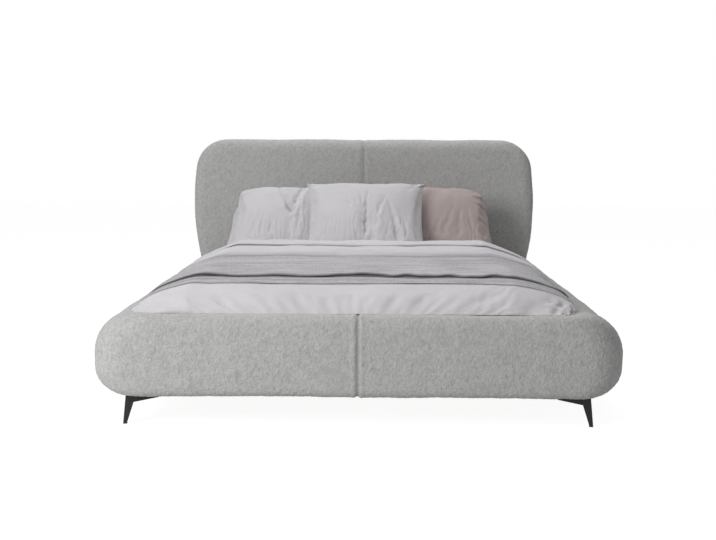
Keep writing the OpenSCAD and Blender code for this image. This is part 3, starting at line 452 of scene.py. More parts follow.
def pile_tree(material):
    """Geometry Nodes that raise a pile of loops from a cloth, and keep their height for the material."""
    tree = bpy.data.node_groups.new("looped pile", "GeometryNodeTree")
    tree.interface.new_socket("Geometry", in_out="INPUT", socket_type="NodeSocketGeometry")
    for name, value in (("Loop", 9 * MM), ("Height", 2.6 * MM), ("Stretch", 1.5), ("Seed", 0.0)):
        socket = tree.interface.new_socket(name, in_out="INPUT", socket_type="NodeSocketFloat")
        socket.default_value = value
    tree.interface.new_socket("Geometry", in_out="OUTPUT", socket_type="NodeSocketGeometry")
    given = add(tree, "NodeGroupInput").outputs
    # Clumps of loops as soft cells, taller than wide and bent by a drift so that they lie in no grid
    per_loop = add(tree, "ShaderNodeMath", {0: 1.0, 1: given["Loop"]}, operation="DIVIDE").outputs[0]
    upright = add(tree, "ShaderNodeMath", {0: per_loop, 1: given["Stretch"]},
                  operation="DIVIDE").outputs[0]
    rate = add(tree, "ShaderNodeCombineXYZ", {"X": per_loop, "Y": per_loop, "Z": upright}).outputs[0]
    place = add(tree, "GeometryNodeInputPosition").outputs[0]
    scaled = add(tree, "ShaderNodeVectorMath", {0: place, 1: rate}, operation="MULTIPLY").outputs[0]
    shift = add(tree, "ShaderNodeCombineXYZ", {"X": given["Seed"], "Y": 3.7}).outputs[0]
    start = add(tree, "ShaderNodeVectorMath", {0: scaled, 1: shift}, operation="ADD").outputs[0]
    drift = add(tree, "ShaderNodeTexNoise", {"Scale": 0.8, "Vector": start}).outputs["Color"]
    bend = add(tree, "ShaderNodeVectorMath", {0: drift, "Scale": 1.3}, operation="SCALE").outputs[0]
    bent = add(tree, "ShaderNodeVectorMath", {0: start, 1: bend}, operation="ADD").outputs[0]
    cells = add(tree, "ShaderNodeTexVoronoi", {"Scale": 1.0, "Smoothness": 0.6, "Vector": bent},
                feature="SMOOTH_F1").outputs["Distance"]
    rise = add(tree, "ShaderNodeMapRange", {"From Min": 0.75, "From Max": 0.1, "Value": cells}).outputs[0]
    # Patches of the pile stand lower than others
    patches = {"Scale": 0.9, "Detail": 3.0, "Roughness": 0.6, "Vector": start}
    clumps = add(tree, "ShaderNodeTexNoise", patches).outputs[0]
    lower = {"From Min": 0.3, "From Max": 0.7, "To Min": 0.6, "Value": clumps}
    lift = add(tree, "ShaderNodeMapRange", lower).outputs[0]
    pile = add(tree, "ShaderNodeMath", {0: rise, 1: lift}, operation="MULTIPLY").outputs[0]
    cover = add(tree, "GeometryNodeInputNamedAttribute", {"Name": "cover"}, data_type="FLOAT").outputs[0]
    shown = add(tree, "ShaderNodeMath", {0: pile, 1: cover}, operation="MULTIPLY").outputs[0]
    tall = add(tree, "ShaderNodeMath", {0: shown, 1: given["Height"]}, operation="MULTIPLY").outputs[0]
    out = add(tree, "GeometryNodeInputNormal").outputs[0]
    offset = add(tree, "ShaderNodeVectorMath", {0: out, "Scale": tall}, operation="SCALE").outputs[0]
    # Where the pile is pressed flat, as in a seam, the material takes it as lower still and paints it dark,
    # as painted shade in the seam
    pressed = add(tree, "ShaderNodeMath", {0: cover, 1: 1.0}, operation="SUBTRACT").outputs[0]
    shade = add(tree, "ShaderNodeMath", {0: shown, 1: pressed}, operation="ADD").outputs[0]
    kept = add(tree, "GeometryNodeStoreNamedAttribute",
               {"Geometry": given["Geometry"], "Name": "pile", "Value": shade},
               data_type="FLOAT", domain="POINT").outputs[0]
    moved = add(tree, "GeometryNodeSetPosition", {"Geometry": kept, "Offset": offset}).outputs[0]
    plain = add(tree, "GeometryNodeRealizeInstances", {"Geometry": moved}).outputs[0]
    dressed = add(tree, "GeometryNodeSetMaterial", {"Geometry": plain, "Material": material}).outputs[0]
    add(tree, "NodeGroupOutput", {"Geometry": dressed})
    return tree


def use_tree(made, tree, **inputs):
    """Runs a Geometry Nodes tree on an object with the values given for its named inputs."""
    modifier = made.modifiers.new(tree.name, "NODES")
    modifier.node_group = tree
    for item in tree.interface.items_tree:
        if item.item_type == "SOCKET" and item.in_out == "INPUT" and item.name in inputs:
            modifier[item.identifier] = inputs[item.name]
    settled(made)


def upholster(made, tree, cover, seed, height, loop):
    """Raises the looped pile on a cushioned form; cover is 1 where it stands and 0 where it is bare."""
    layer = made.data.attributes.new("cover", "FLOAT", "POINT")
    layer.data.foreach_set("value", np.asarray(cover, dtype=np.float32))
    use_tree(made, tree, Loop=loop, Height=height, Seed=float(seed))
    made.data.attributes.remove(made.data.attributes["cover"])


def seam_depth(across, width, depth):
    """Depth of a sewn seam's valley at a distance from it: sharp in the middle, and puffed beside it."""
    d = np.abs(across)
    return depth * np.exp(-d / width) - 0.28 * depth * np.exp(-((d - 3.2 * width) / (2.2 * width)) ** 2)


def length_property(name, description, default, low, high):
    """Length that the sidebar shows, with its default and its range in millimetres."""
    return bpy.props.FloatProperty(name=name, description=description, default=default * MM, min=low * MM,
                                   max=high * MM, subtype="DISTANCE", unit="LENGTH")


class BedShape(bpy.types.PropertyGroup):
    """Sizes of the dressed bed that a user would change."""
    pile: length_property("Pile Height", "Height of the looped fabric's highest loops", 2.6, 0, 8)
    loop: length_property("Loop Size", "Width of a clump of loops", 9, 6, 40)
    seam: length_property("Seam Depth", "Depth of the sewn seam in the middle of the boards", 7, 0, 20)
    head_round: length_property("Headboard Front Edge", "Radius of the headboard's front edge", 62, 20, 75)
    end_round: length_property("Footboard End", "Radius of the footboard's ends, seen from above",
                               140, 60, 150)
    edge_round: length_property("Footboard Front Edge", "Radius of the footboard's long front edges",
                                36, 10, 80)
    duvet_round: length_property("Duvet Foot Shoulder", "Width of the duvet's rounded edge at the foot",
                                 185, 60, 220)
    shoulder_left: length_property("Duvet Left Shoulder", "Width of the duvet's slope down to the left rail",
                                   210, 80, 280)
    shoulder_right: length_property("Duvet Right Shoulder",
                                    "Width of the duvet's slope down to the right rail", 240, 80, 280)
    right_short: length_property("Duvet Right Gap",
                                 "Distance by which the duvet's right edge runs in at the foot", 44, 0, 60)
    throw_thick: length_property("Throw Thickness", "Thickness of the throw's cloth", 3, 1, 8)


def colour_property(name, description, code):
    """Colour that the sidebar shows, with an sRGB hex default."""
    return bpy.props.FloatVectorProperty(name=name, description=description, default=linear(code),
                                         size=4, min=0, max=1, subtype="COLOR")


class BedFinish(bpy.types.PropertyGroup):
    """Colours of the bed's finishes."""
    fabric: colour_property("Fabric", "Looped fabric between its lights and shades", "#b8b8b7")
    # The loops' colour is painted light on their tops, and the shade colour is painted shade between them
    fabric_light: colour_property("Fabric Loops", "Looped fabric on the tops of its loops", "#c6c6c5")
    fabric_shade: colour_property("Fabric Shade", "Looped fabric between its loops", "#9a9a99")
    duvet: colour_property("Duvet", "Cotton of the duvet", "#c9c6c9")
    throw: colour_property("Throw", "Linen of the throw", "#aba9ac")
    throw_light: colour_property("Throw Light", "Pale threads of the throw", "#c6c4c6")
    throw_shade: colour_property("Throw Shade", "Dark threads of the throw", "#7e7c7f")
    # Dark threads of the front edge, also used as painted shade under the front roll and along the far fold
    throw_edge_and_shade: colour_property("Throw Edge", "Dark threads along the throw's front edge", "#7f7d81")
    pillow: colour_property("Pillows", "Cotton of the pale pillows", "#c6c4c6")
    pillow_warm: colour_property("Warm Pillows", "Cotton of the pillows on the right", "#a99c9a")
    steel: colour_property("Legs", "Powder coat of the legs", "#0d0d0f")
    steel_light: colour_property("Legs Light", "Powder coat where it is worn", "#151517")


def materials_of(scene):
    """Materials of every slot, made once from the colours in the sidebar."""
    look = scene.bed_finish
    kept = scene.get("bed_materials")
    if kept:
        return {slot: bpy.data.materials[name] for slot, name in kept.items()}
    made = {
        "looped_fabric": looped_fabric({"colour": look.fabric, "light": look.fabric_light,
                                        "shade": look.fabric_shade}),
        "foam": cut_foam(),
        "dust_cover": spunbond(),
        "timber": planed_wood("planed pine", linear("#d9b988"), linear("#b98f5a"), (40, 2, 40), 0.6),
        "beech_plywood": planed_wood("beech plywood", linear("#dcc196"), linear("#c2a071"),
                                     (2, 160, 160), 0.42),
        "black_plastic": moulded_nylon(),
        "zinc_steel": zinc_plate(),
        "black_metal": powder_coat({"shade": look.steel, "light": look.steel_light}),
        "mattress_ticking": knitted_ticking(),
        "duvet_cotton": percale("washed cotton percale", tuple(look.duvet)),
        "throw_fabric": slub_linen({"colour": look.throw, "light": look.throw_light,
                                    "shade": look.throw_shade, "fringe_and_shade": look.throw_edge_and_shade}),
        "lilac_cotton": percale("pale lilac cotton", tuple(look.pillow)),
        "taupe_cotton": percale("taupe cotton", tuple(look.pillow_warm)),
    }
    scene["bed_materials"] = {slot: material.name for slot, material in made.items()}
    return made


def stations(front_r, back_r, depth, step):
    """Distances from a board's front face to its rings, which stand close together in its two rounds."""
    front = [front_r * (1 - math.cos(math.radians(t))) for t in range(0, 91, step)]
    return front + [depth - back_r + back_r * math.sin(math.radians(t)) for t in range(0, 91, 18)]


def headboard_rings(shape, inset):
    """Rings of the headboard's body moved in by inset, from its front face to its back face."""
    top, low = HEAD_HIGH.z - inset, HEAD_LOW.z + inset
    depth = HEAD_HIGH.y - HEAD_LOW.y - 2 * inset
    front_r, back_r = shape.head_round - inset, 24 * MM - inset
    rings = []
    for d in stations(front_r, back_r, depth, 9):
        cut = round_cut(front_r, d) + round_cut(back_r, depth - d)
        half = headboard_outline(top - cut, low, inset + cut)
        rings.append([(x, HEAD_LOW.y + inset + d, z) for x, z in half + [(-x, z) for x, z in half[::-1]]])
    return rings


def headboard_outline(top, low, inset):
    """Right half of the headboard's outline, moved in by inset, from its bottom edge to its top edge."""
    # Radius of the bulging side, height of its widest place and radius of the neck above the rail
    side_r, widest_z, neck_r = 1.5, 0.72, 0.5
    neck_a = math.asin((widest_z - RAIL_HIGH.z) / side_r)
    bulge_x = HEAD_HIGH.x - side_r
    neck_z = widest_z - (side_r + neck_r) * math.sin(neck_a)
    low_half = bulge_x + (side_r + neck_r) * math.cos(neck_a) - neck_r
    corner, foot = (max(2 * MM, r - inset) for r in (180 * MM, 50 * MM))
    side = side_r - inset
    tz = top - corner - widest_z
    tx = bulge_x + math.sqrt((side - corner) ** 2 - tz * tz)
    ta = math.atan2(tz, tx - bulge_x)
    along = [-neck_a + (ta + neck_a) * k / 14 for k in range(1, 14)]
    return (arc(low_half - inset - foot, low + foot, foot, -90, 0, 6)
            + arc(low_half + neck_r, neck_z, neck_r + inset, 180, 180 - math.degrees(neck_a), 4)
            + [(bulge_x + side * math.cos(a), widest_z + side * math.sin(a)) for a in along]
            + arc(tx, top - corner, corner, math.degrees(ta), 90, 16))


def back_outline():
    """Right half of the line that the headboard's back cloth reaches to."""
    return headboard_outline(HEAD_HIGH.z - BACK_FOLD, HEAD_LOW.z + BACK_FOLD, BACK_FOLD)


def footboard_rings(shape, inset):
    """Rings of the footboard's body moved in by inset, from its front face to its back face."""
    tall = (FOOT_HIGH.z - FOOT_LOW.z) / 2
    depth = FOOT_HIGH.y - FOOT_LOW.y - 2 * inset
    plan_r, edge_r, back_r = shape.end_round - inset, shape.edge_round - inset, 22 * MM - inset
    rings = []
    for d in stations(plan_r, back_r, depth, 5):
        back = round_cut(back_r, depth - d)
        a = FOOT_HIGH.x - inset - round_cut(plan_r, d) - back
        b = tall - inset - round_cut(edge_r, d) - back
        low_r = b - tall + LOW_EDGE
        outline = (arc(a - low_r, low_r - b, low_r, -90, 0, 12) + arc(a - b, 0, b, 0, 90, 12)
                   + arc(b - a, 0, b, 90, 180, 12) + arc(low_r - a, low_r - b, low_r, 180, 270, 12))
        rings.append([(x, FOOT_LOW.y + inset + d, FOOT_LOW.z + tall + z) for x, z in outline])
    return rings


def rail_rings(inset):
    """Rings of the right rail's D-shaped section, from the footboard to the headboard, with eased ends."""
    x0, low, tall = RAIL_LOW.x, RAIL_LOW.z, RAIL_HIGH.z - RAIL_LOW.z
    round_r, edge_r = tall / 2, 22 * MM
    round_u = RAIL_HIGH.x - x0 - round_r
    ease = 9 * MM
    rings = []
    # Each section goes from its lower inner corner round the outer side to its upper inner edge
    for end, way in ((RAIL_LOW.y, 1), (RAIL_HIGH.y, -1)):
        part = []
        for t in (0, 30, 60, 90):
            y = end + way * ease * (1 - math.cos(math.radians(t)))
            i = inset + ease * (1 - math.sin(math.radians(t)))
            part.append([(x0 + u, y, low + v) for u, v in
                         arc(i + 4 * MM, i + 4 * MM, 4 * MM, 180, 270, 3)
                         + arc(RAIL_HIGH.x - x0 - LOW_EDGE, LOW_EDGE, LOW_EDGE - i, -90, 0, 18)
                         + arc(round_u, round_r, round_r - i, 0, 90, 18)
                         + arc(edge_r, tall - edge_r, max(2 * MM, edge_r - i), 90, 180, 7)])
        rings += part if way == 1 else part[::-1]
    return rings


def slacken(made, seed, amount, wave):
    """Moves a tight form's surface in and out a little, as stretched fabric over foam does."""
    places = points_of(made)
    move_points(made, places + normals_of(made) * (amount * swell(places, seed, wave))[:, None])


class BED_OT_headboard(bpy.types.Operator):
    """Makes the headboard's padded body with its middle seam, and the dust cloth on its back."""
    bl_idname = "bed.headboard"
    bl_label = "Headboard"

    def execute(self, context):
        shape, slots = context.scene.bed_shape, materials_of(context.scene)
        inset = shape.pile * 0.75
        body = remeshed(skin("headboard_padded", headboard_rings(shape, inset)), 7 * MM, 6)
        slacken(body, 11, 1.6 * MM, 0.42)
        places, normals = points_of(body), normals_of(body)
        # The middle seam draws the front in
        front = eased(-normals[:, 1], -0.3, 0.2)
        valley = seam_depth(places[:, 0], 7 * MM, shape.seam) * front
        places -= normals * valley[:, None]
        behind = eased(places[:, 1], HEAD_HIGH.y - 9 * MM, HEAD_HIGH.y - 4 * MM)
        # Under the back cloth the body is bare and lies deeper
        half = sorted((z, x) for x, z in back_outline())
        z, widths = places[:, 2], np.array([x for _, x in half])
        inside = np.interp(z, [z for z, _ in half], widths) - np.abs(places[:, 0])
        inside = np.minimum(inside, np.minimum(half[-1][0] - z, z - half[0][0]))
        bare = behind * eased(inside, -2 * MM, 9 * MM)
        places[:, 1] -= 7 * MM * bare
        move_points(body, places)
        # The pile is lower in the seam and on the back, and the material paints it darker there as painted
        # shade
        sewn = eased(np.abs(places[:, 0]), 1 * MM, 13 * MM)
        cover = (1 - front * (1 - sewn) * 0.35) * (1 - 0.35 * behind) * (1 - bare)
        upholster(body, pile_tree(slots["looped_fabric"]), cover, 3, shape.pile, shape.loop)
        dress(body, slots["looped_fabric"], "frame", "looped_fabric", "headboard_cover", "headboard_foam")
        self.back_cloth(slots)
        return {"FINISHED"}

    def back_cloth(self, slots):
        """Thin cloth stapled over the back, its edge turned under all round."""
        y, middle, half_w, half_h = HEAD_HIGH.y - 1.6 * MM, 0.6, 0.9, 0.45
        outline = back_outline()
        outline += [(-x, z) for x, z in outline[::-1]]
        rings = []
        # Each ring's distance inside the cloth's edge and its height, in millimetres
        for within, out in ((0, 0), (0, 1.4), (3, 2.0), (16, 1.7), (20, 0.9)):
            wide, tall = 1 - within * MM / half_w, 1 - within * MM / half_h
            rings.append([(x * wide, y + out * MM, (z - middle) * tall + middle) for x, z in outline])
        cloth = skin("headboard_back_cloth", rings)
        dress(cloth, slots["dust_cover"], "frame", "dust_cover", "headboard_back_panel")
        row = [(x * 0.985, HEAD_HIGH.y + 0.5 * MM, (z - middle) * 0.975 + middle) for x, z in outline]
        line = mesh_object("back_staples", row, [], [(i, (i + 1) % len(row)) for i in range(len(row))])
        use_tree(line, staple_tree(slots["zinc_steel"]), Spacing=42 * MM)
        dress(line, slots["zinc_steel"], "frame", "zinc_steel")


def staple_tree(material):
    """Geometry Nodes that drive staples along an edge loop, each a flat crown of 11 mm."""
    tree = bpy.data.node_groups.new("staples", "GeometryNodeTree")
    tree.interface.new_socket("Geometry", in_out="INPUT", socket_type="NodeSocketGeometry")
    spacing = tree.interface.new_socket("Spacing", in_out="INPUT", socket_type="NodeSocketFloat")
    spacing.default_value = 42 * MM
    tree.interface.new_socket("Geometry", in_out="OUTPUT", socket_type="NodeSocketGeometry")
    given = add(tree, "NodeGroupInput").outputs
    path = add(tree, "GeometryNodeMeshToCurve", {"Mesh": given["Geometry"]}).outputs[0]
    spots = add(tree, "GeometryNodeCurveToPoints", {"Curve": path, "Length": given["Spacing"]},
                mode="LENGTH")
    crown = add(tree, "GeometryNodeMeshCube", {"Size": (1.1 * MM, 0.9 * MM, 11 * MM)}).outputs[0]
    spot, turn = spots.outputs["Points"], spots.outputs["Rotation"]
    placed = add(tree, "GeometryNodeInstanceOnPoints",
                 {"Points": spot, "Instance": crown, "Rotation": turn}).outputs[0]
    plain = add(tree, "GeometryNodeRealizeInstances", {"Geometry": placed}).outputs[0]
    dressed = add(tree, "GeometryNodeSetMaterial", {"Material": material, "Geometry": plain}).outputs[0]
    add(tree, "NodeGroupOutput", {"Geometry": dressed})
    return tree


class BED_OT_footboard(bpy.types.Operator):
    """Makes the footboard's padded body with its middle seam."""
    bl_idname = "bed.footboard"
    bl_label = "Footboard"

    def execute(self, context):
        shape, slots = context.scene.bed_shape, materials_of(context.scene)
        body = remeshed(skin("footboard_padded", footboard_rings(shape, shape.pile * 0.75)), 6 * MM, 5)
        slacken(body, 21, 1.8 * MM, 0.36)
        places, normals = points_of(body), normals_of(body)
        # The middle seam runs over the front, the top and the underside
        front = eased(-normals[:, 1] + np.abs(normals[:, 2]), -0.2, 0.3)
        places -= normals * (seam_depth(places[:, 0], 4.2 * MM, 1.15 * shape.seam) * front)[:, None]
        move_points(body, places)
        # The pile is lower in the seam, and the material paints it dark there as painted shade
        sewn = eased(np.abs(places[:, 0]), 1 * MM, 7 * MM)
        cover = 1 - front * (1 - sewn) * 0.9
        upholster(body, pile_tree(slots["looped_fabric"]), cover, 8, shape.pile, shape.loop)
        dress(body, slots["looped_fabric"], "frame", "looped_fabric", "footboard_cover", "footboard_foam")
        return {"FINISHED"}


class BED_OT_rails(bpy.types.Operator):
    """Makes the two padded side rails."""
    bl_idname = "bed.rails"
    bl_label = "Side Rails"

    def execute(self, context):
        shape, slots = context.scene.bed_shape, materials_of(context.scene)
        for side, name in ((1, "right"), (-1, "left")):
            rings = [[(side * x, y, z) for x, y, z in ring] for ring in rail_rings(shape.pile * 0.75)]
            body = remeshed(skin("rail_padded_" + name, rings), 6.5 * MM, 4)
            slacken(body, 31 + side, 1.8 * MM, 0.4)
            cover = np.ones(len(body.data.vertices))
            upholster(body, pile_tree(slots["looped_fabric"]), cover, 14 + side, shape.pile, shape.loop)
            dress(body, slots["looped_fabric"], "frame", "looped_fabric",
                  "rail_cover_" + name, "rail_foam_" + name)
        return {"FINISHED"}


class BED_OT_base(bpy.types.Operator):
    """Finishes the timber, the slats, the steel and the plastic pieces of the base."""
    bl_idname = "bed.base"
    bl_label = "Slatted Base"

    def execute(self, context):
        slots = materials_of(context.scene)
        slot_of = {part["node"]: part["material_slot"] for part in frame["record"]["subparts"]}
        for name, made in frame["nodes"].items():
            material = slots[slot_of[name]]
            for place in made.material_slots:
                place.material = material
            if not made.material_slots:
                made.data.materials.append(material)
        return {"FINISHED"}


# Bedding

def simulate(made, frames, cap, pressure, **settings):
    """Lets Blender's Cloth fill and crease a closed form, moving no point further than cap."""
    scene = bpy.context.scene
    start = points_of(made)
    cloth = made.modifiers.new("cloth", "CLOTH")
    cloth.settings.use_pressure = True
    cloth.settings.uniform_pressure_force = pressure
    cloth.settings.effector_weights.gravity = 0.0
    for key, value in settings.items():
        setattr(cloth.settings, key, value)
    cloth.collision_settings.use_collision = False
    cloth.point_cache.frame_start, cloth.point_cache.frame_end = 1, frames
    scene.frame_start, scene.frame_end = 1, frames
    for step in range(1, frames + 1):
        scene.frame_set(step)
    settled(made)
    moved = points_of(made) - start
    reach = np.linalg.norm(moved, axis=1, keepdims=True)
    move_points(made, start + moved * np.minimum(1, cap / np.maximum(reach, 1e-9)))
    scene.frame_set(1)


def subdivided(made):
    """Splits every face in four and rounds the result."""
    finer = made.modifiers.new("finer", "SUBSURF")
    finer.levels = finer.render_levels = 1
    settled(made)


def crease(places, normals, strokes, seed):
    """Presses folds into a surface. A stroke is its deep end, its faint end, a width and a depth."""
    # A stroke wanders a little, narrows towards its faint end and has a raised lip on one side
    flat = places[:, :2] + 5 * MM * np.stack((swell(places, seed, 0.11), swell(places, seed + 1, 0.15)), 1)
    total = np.zeros(len(places))
    for deep, faint, width, depth in strokes:
        way = np.array(faint) - np.array(deep)
        along = np.clip(((flat - deep) @ way) / (way @ way), 0, 1)
        near = np.array(deep) + along[:, None] * way
        side = (flat[:, 0] - near[:, 0]) * way[1] - (flat[:, 1] - near[:, 1]) * way[0]
        away = np.linalg.norm(flat - near, axis=1) / (width * (1 - 0.5 * along))
        profile = np.exp(-away ** 2) - 0.35 * np.exp(-((away - 1.9) / 1.0) ** 2) * (side > 0)
        uneven = 1 + 0.35 * swell(places, seed + 3 + int(900 * depth), 0.09)
        total += depth * uneven * np.sin(np.pi * np.clip(1 - along, 0, 1) ** 1.4 * 0.62) * profile
    return places - normals * (total * eased(normals[:, 2], 0.0, 0.3))[:, None]


class BED_OT_mattress(bpy.types.Operator):
    """Makes the mattress: a slab in knitted ticking with rounded edges and a slightly uneven top."""
    bl_idname = "bed.mattress"
    bl_label = "Mattress"

    def execute(self, context):
        slots = materials_of(context.scene)
        edge, corner, sink = 32 * MM, 80 * MM, 2 * MM
        low, high = BASE_LOW, BASE_HIGH
        rings = []
        tall = high.z - low.z
        # Each ring's distance inside the side face and its height, over both rounded edges
        steps = [(edge * (1 - math.cos(math.radians(t))), edge * (1 - math.sin(math.radians(t))))
                 for t in range(90, -1, -15)]
        steps += [(s, tall - z) for s, z in steps[::-1]]
        for s, z in steps:
            r = max(4 * MM, corner - s)
            x1, y0, y1 = high.x - s, low.y + s, high.y - s
            ring = (arc(x1 - r, y0 + r, r, -90, 0, 8) + arc(x1 - r, y1 - r, r, 0, 90, 8)
                    + arc(r - x1, y1 - r, r, 90, 180, 8) + arc(r - x1, y0 + r, r, 180, 270, 8))
            rings.append([(x, y, low.z + z) for x, y in ring])
        body = remeshed(skin("mattress_padded", rings), 14 * MM, 3)
        places, normals = points_of(body), normals_of(body)
        # The top is slightly uneven, and lies a little lower so that it stays under the duvet
        level = eased(normals[:, 2], 0.5, 0.9)
        ripple = swell(places, 41, 0.3) * 1.2 * MM - sink
        move_points(body, places + normals * (ripple * level - 0.5 * MM)[:, None])
        subdivided(body)
        dress(body, slots["mattress_ticking"], "mattress", "mattress_ticking", "mattress")
        return {"FINISHED"}


class BED_OT_duvet(bpy.types.Operator):
    """Makes the duvet: a filled cotton case over the foot of the bed, its head end folded back on itself."""
    bl_idname = "bed.duvet"
    bl_label = "Duvet"

    def execute(self, context):
        shape, slots = context.scene.bed_shape, materials_of(context.scene)
        body, count = self.form(shape)
        hold = body.vertex_groups.new(name="held")
        hold.add(list(range(count, len(body.data.vertices))), 1.0, "REPLACE")
        simulate(body, 14, 8 * MM, 1.5, shrink_min=-0.03, tension_stiffness=10, bending_stiffness=0.2,
                 vertex_group_mass="held")
        body.vertex_groups.clear()
        subdivided(body)
        self.rumple(body)
        dress(body, slots["duvet_cotton"], "bedding", "duvet_cotton", "duvet")
        return {"FINISHED"}

    def form(self, shape):
        """Duvet before it is creased, and how many of its points lie on the upper side."""
        step = 13 * MM
        path, across = duvet_path(shape, step), duvet_across(step)
        # The under side rests on the mattress, and beyond its edges on the frame
        upper, under = [], []
        for y, top in path:
            for place in across:
                x, z = duvet_point(shape, y, top, *place)
                upper.append((x, y, z))
                on_mattress = abs(x) < BASE_HIGH.x + 1 * MM and y > BASE_LOW.y - 1 * MM
                low = BASE_HIGH.z + 0.6 * MM if on_mattress else DUVET_LOW.z - 1.2 * MM
                under.append((x, y, min(low, z - 0.4 * MM)))
        wide, long = len(across), len(path)
        count = wide * long
        faces = []
        for j in range(long - 1):
            for i in range(wide - 1):
                k = j * wide + i
                quad = (k, k + 1, k + wide + 1, k + wide)
                faces += [quad, tuple(count + v for v in quad[::-1])]
        # The two sides are joined all round
        rim = (list(range(wide)) + [j * wide + wide - 1 for j in range(1, long)]
               + [(long - 1) * wide + i for i in range(wide - 2, -1, -1)]
               + [j * wide for j in range(long - 2, 0, -1)])
        for a, b in zip(rim, rim[1:] + rim[:1]):
            faces.append((b, a, count + a, count + b))
        return mesh_object("duvet_padded", upper + under, faces), count

    def rumple(self, body):
        """Long soft waves on the top, slanting folds on the drop at the foot and a crumpled right corner."""
        places, normals = points_of(body), normals_of(body)
        up = eased(normals[:, 2], -0.1, 0.4)
        x, y, foot = places[:, 0], places[:, 1], DUVET_LOW.y - DUVET_OUT
        waves = swell(places * np.array((1.0, 1.6, 0.4)), 51, 0.34) * 1.8 * MM
        # Folds 2 mm high on the right half of the drop, where they come and go
        drop = eased(-y, 0.84, 0.98) * (1 - eased(-y, -foot - 0.03, -foot))
        slant = x - 0.5 * y + 0.014 * swell(places, 53, 0.2)
        folds = (np.abs(np.sin(slant * 72)) ** 3 - 0.35) * 2.0 * MM
        folds *= eased(x, 0.1, 0.4) * eased(swell(places * np.array((1.0, 0.3, 0.3)), 57, 0.3), -0.6, 0.5)
        corner_x, corner_y = 0.77, -1.05
        corner = np.exp(-((x - corner_x) / 0.045) ** 2 - ((y - corner_y) / 0.06) ** 2)
        crumple = swell(places, 58, 0.036) * 13 * MM * corner
        # The folded-back head end has ripples of its own, and its edge wanders by some millimetres
        ripple = 1.6 * MM * np.sin(95 * y + 3 * swell(places, 59, 0.5)) * eased(y, -0.06, -0.03)
        places += normals * ((waves + folds * drop + crumple + ripple) * up)[:, None]
        lay = eased(y, -0.06, -0.02) * 5 * MM * (np.sin(7 * x + 1) + 0.6 * np.sin(19 * x))
        places[:, 1] += lay * (1 - eased(y, 0.13, 0.18))
        # Nothing sinks into the frame
        places[:, 2] = np.maximum(places[:, 2], DUVET_LOW.z - 1.3 * MM)
        move_points(body, places)


# Second fold of the duvet's head end from the end of the first one, as (run, rise) in millimetres
SECOND_FOLD = ((10, -4), (20, -8), (28, -10), (32, -8), (30, -4), (24, -1), (17, 1.5), (12, 5), (15, 9),
               (24, 11.5))


def duvet_path(shape, step):
    """Line up the middle of the duvet's outer side from its foot hem to its head end: (y, height)."""
    foot, head = DUVET_LOW.y - DUVET_OUT, DUVET_HIGH.y
    top, r, fold = DUVET_TOP - 4 * MM, shape.duvet_round, head - FOLDED_BACK
    line = []
    # The rounded edge at the foot, drawn in a little at its hem, and the top up to the fold
    for t in range(0, 91, 6):
        a = math.radians(t)
        run = 1 - math.cos(a)
        rise = 0.5 * math.sin(a) + 0.5 * run
        line.append((foot + r * run + 7 * MM * math.cos(a) ** 6, DUVET_REST + (top - DUVET_REST) * rise))
    count = int((fold - foot - r) / step)
    line += [(foot + r + (fold + 4 * MM - foot - r) * k / count, top + 4 * MM * min(1.0, 2 * k / count))
             for k in range(1, count + 1)]
    # The nose of the folded-back end, and its slope up to the thickest place
    thin, tall = 34 * MM, DUVET_HIGH.z - DUVET_TOP
    half = thin / 2
    for t in (25, 55, 85, 115, 145, 170):
        a = math.radians(t)
        line.append((fold - 0.8 * half * math.sin(a) + 2 * MM, DUVET_TOP + half - half * math.cos(a)))
    for k in range(6):
        rise = math.sin(math.pi / 2 * min(1.0, 0.16 + 0.14 * k))
        line.append((fold + 0.01 + 0.012 * k, DUVET_TOP + thin + (tall - thin - 12 * MM) * rise))
    # The case is folded twice: the second layer's nose stands over a slot behind the first one
    y, z = line[-1]
    line += [(y + run * MM, z + rise * MM) for run, rise in SECOND_FOLD]
    # The second layer rises to the duvet's highest place and turns down to the mattress at the head
    start, level = line[-1]
    count = int(0.12 / (0.8 * step))
    for k in range(1, count + 1):
        rise = math.sin(math.pi / 2 * k / count)
        line.append((start + (head - half - start) * k / count, level + (DUVET_HIGH.z - level) * rise))
    bottom = BASE_HIGH.z + 1 * MM
    deep = (DUVET_HIGH.z - bottom) / 2
    for t in range(18, 181, 18):
        a = math.radians(t)
        line.append((head - half + half * math.sin(a), bottom + deep + deep * math.cos(a)))
    return line


def duvet_across(step):
    """Places across the duvet as (side, share of the level middle, turn down the shoulder in degrees)."""
    turns = [0.5, 4, 9, 15, 21, 27, 33, 39, 45, 51, 57, 63, 69, 75, 81, 86]
    count = int(1.26 / step)
    return ([(-1, 0.0, t) for t in turns] + [(0, k / count, 90) for k in range(count + 1)]
            + [(1, 0.0, t) for t in turns[::-1]])


def duvet_point(shape, y, top, side, share, turn):
    """Point across the duvet at y, where its middle is at height top: (x, z)."""
    # Where the folded-back end makes the duvet thicker, its shoulders are wider and bulge less
    higher = max(0.0, top - DUVET_TOP)
    left_r, right_r = shape.shoulder_left + 1.1 * higher, shape.shoulder_right + 0.6 * higher
    # The foot corners are rounded, and the right edge runs in towards the foot
    pull = round_cut(0.08, max(0.0, y - DUVET_LOW.y + DUVET_OUT + 1 * MM)) * 0.9
    short = shape.right_short * max(0.0, min(1.0, (0.2 - y) / 1.28)) ** 5
    left, right = DUVET_LOW.x + 6 * MM + pull, DUVET_HIGH.x - 8 * MM - short - pull
    if side == 0:
        return left + left_r + (right - right_r - left - left_r) * share, top
    t = math.radians(turn)
    run = 1 - math.cos(t)
    bend = (0.5 if side < 0 else 0.62) - 1.8 * higher
    z = DUVET_REST + max(0.0, top - DUVET_REST) * (bend * math.sin(t) + (1 - bend) * run)
    return (left + left_r * run if side < 0 else right - right_r * run), z


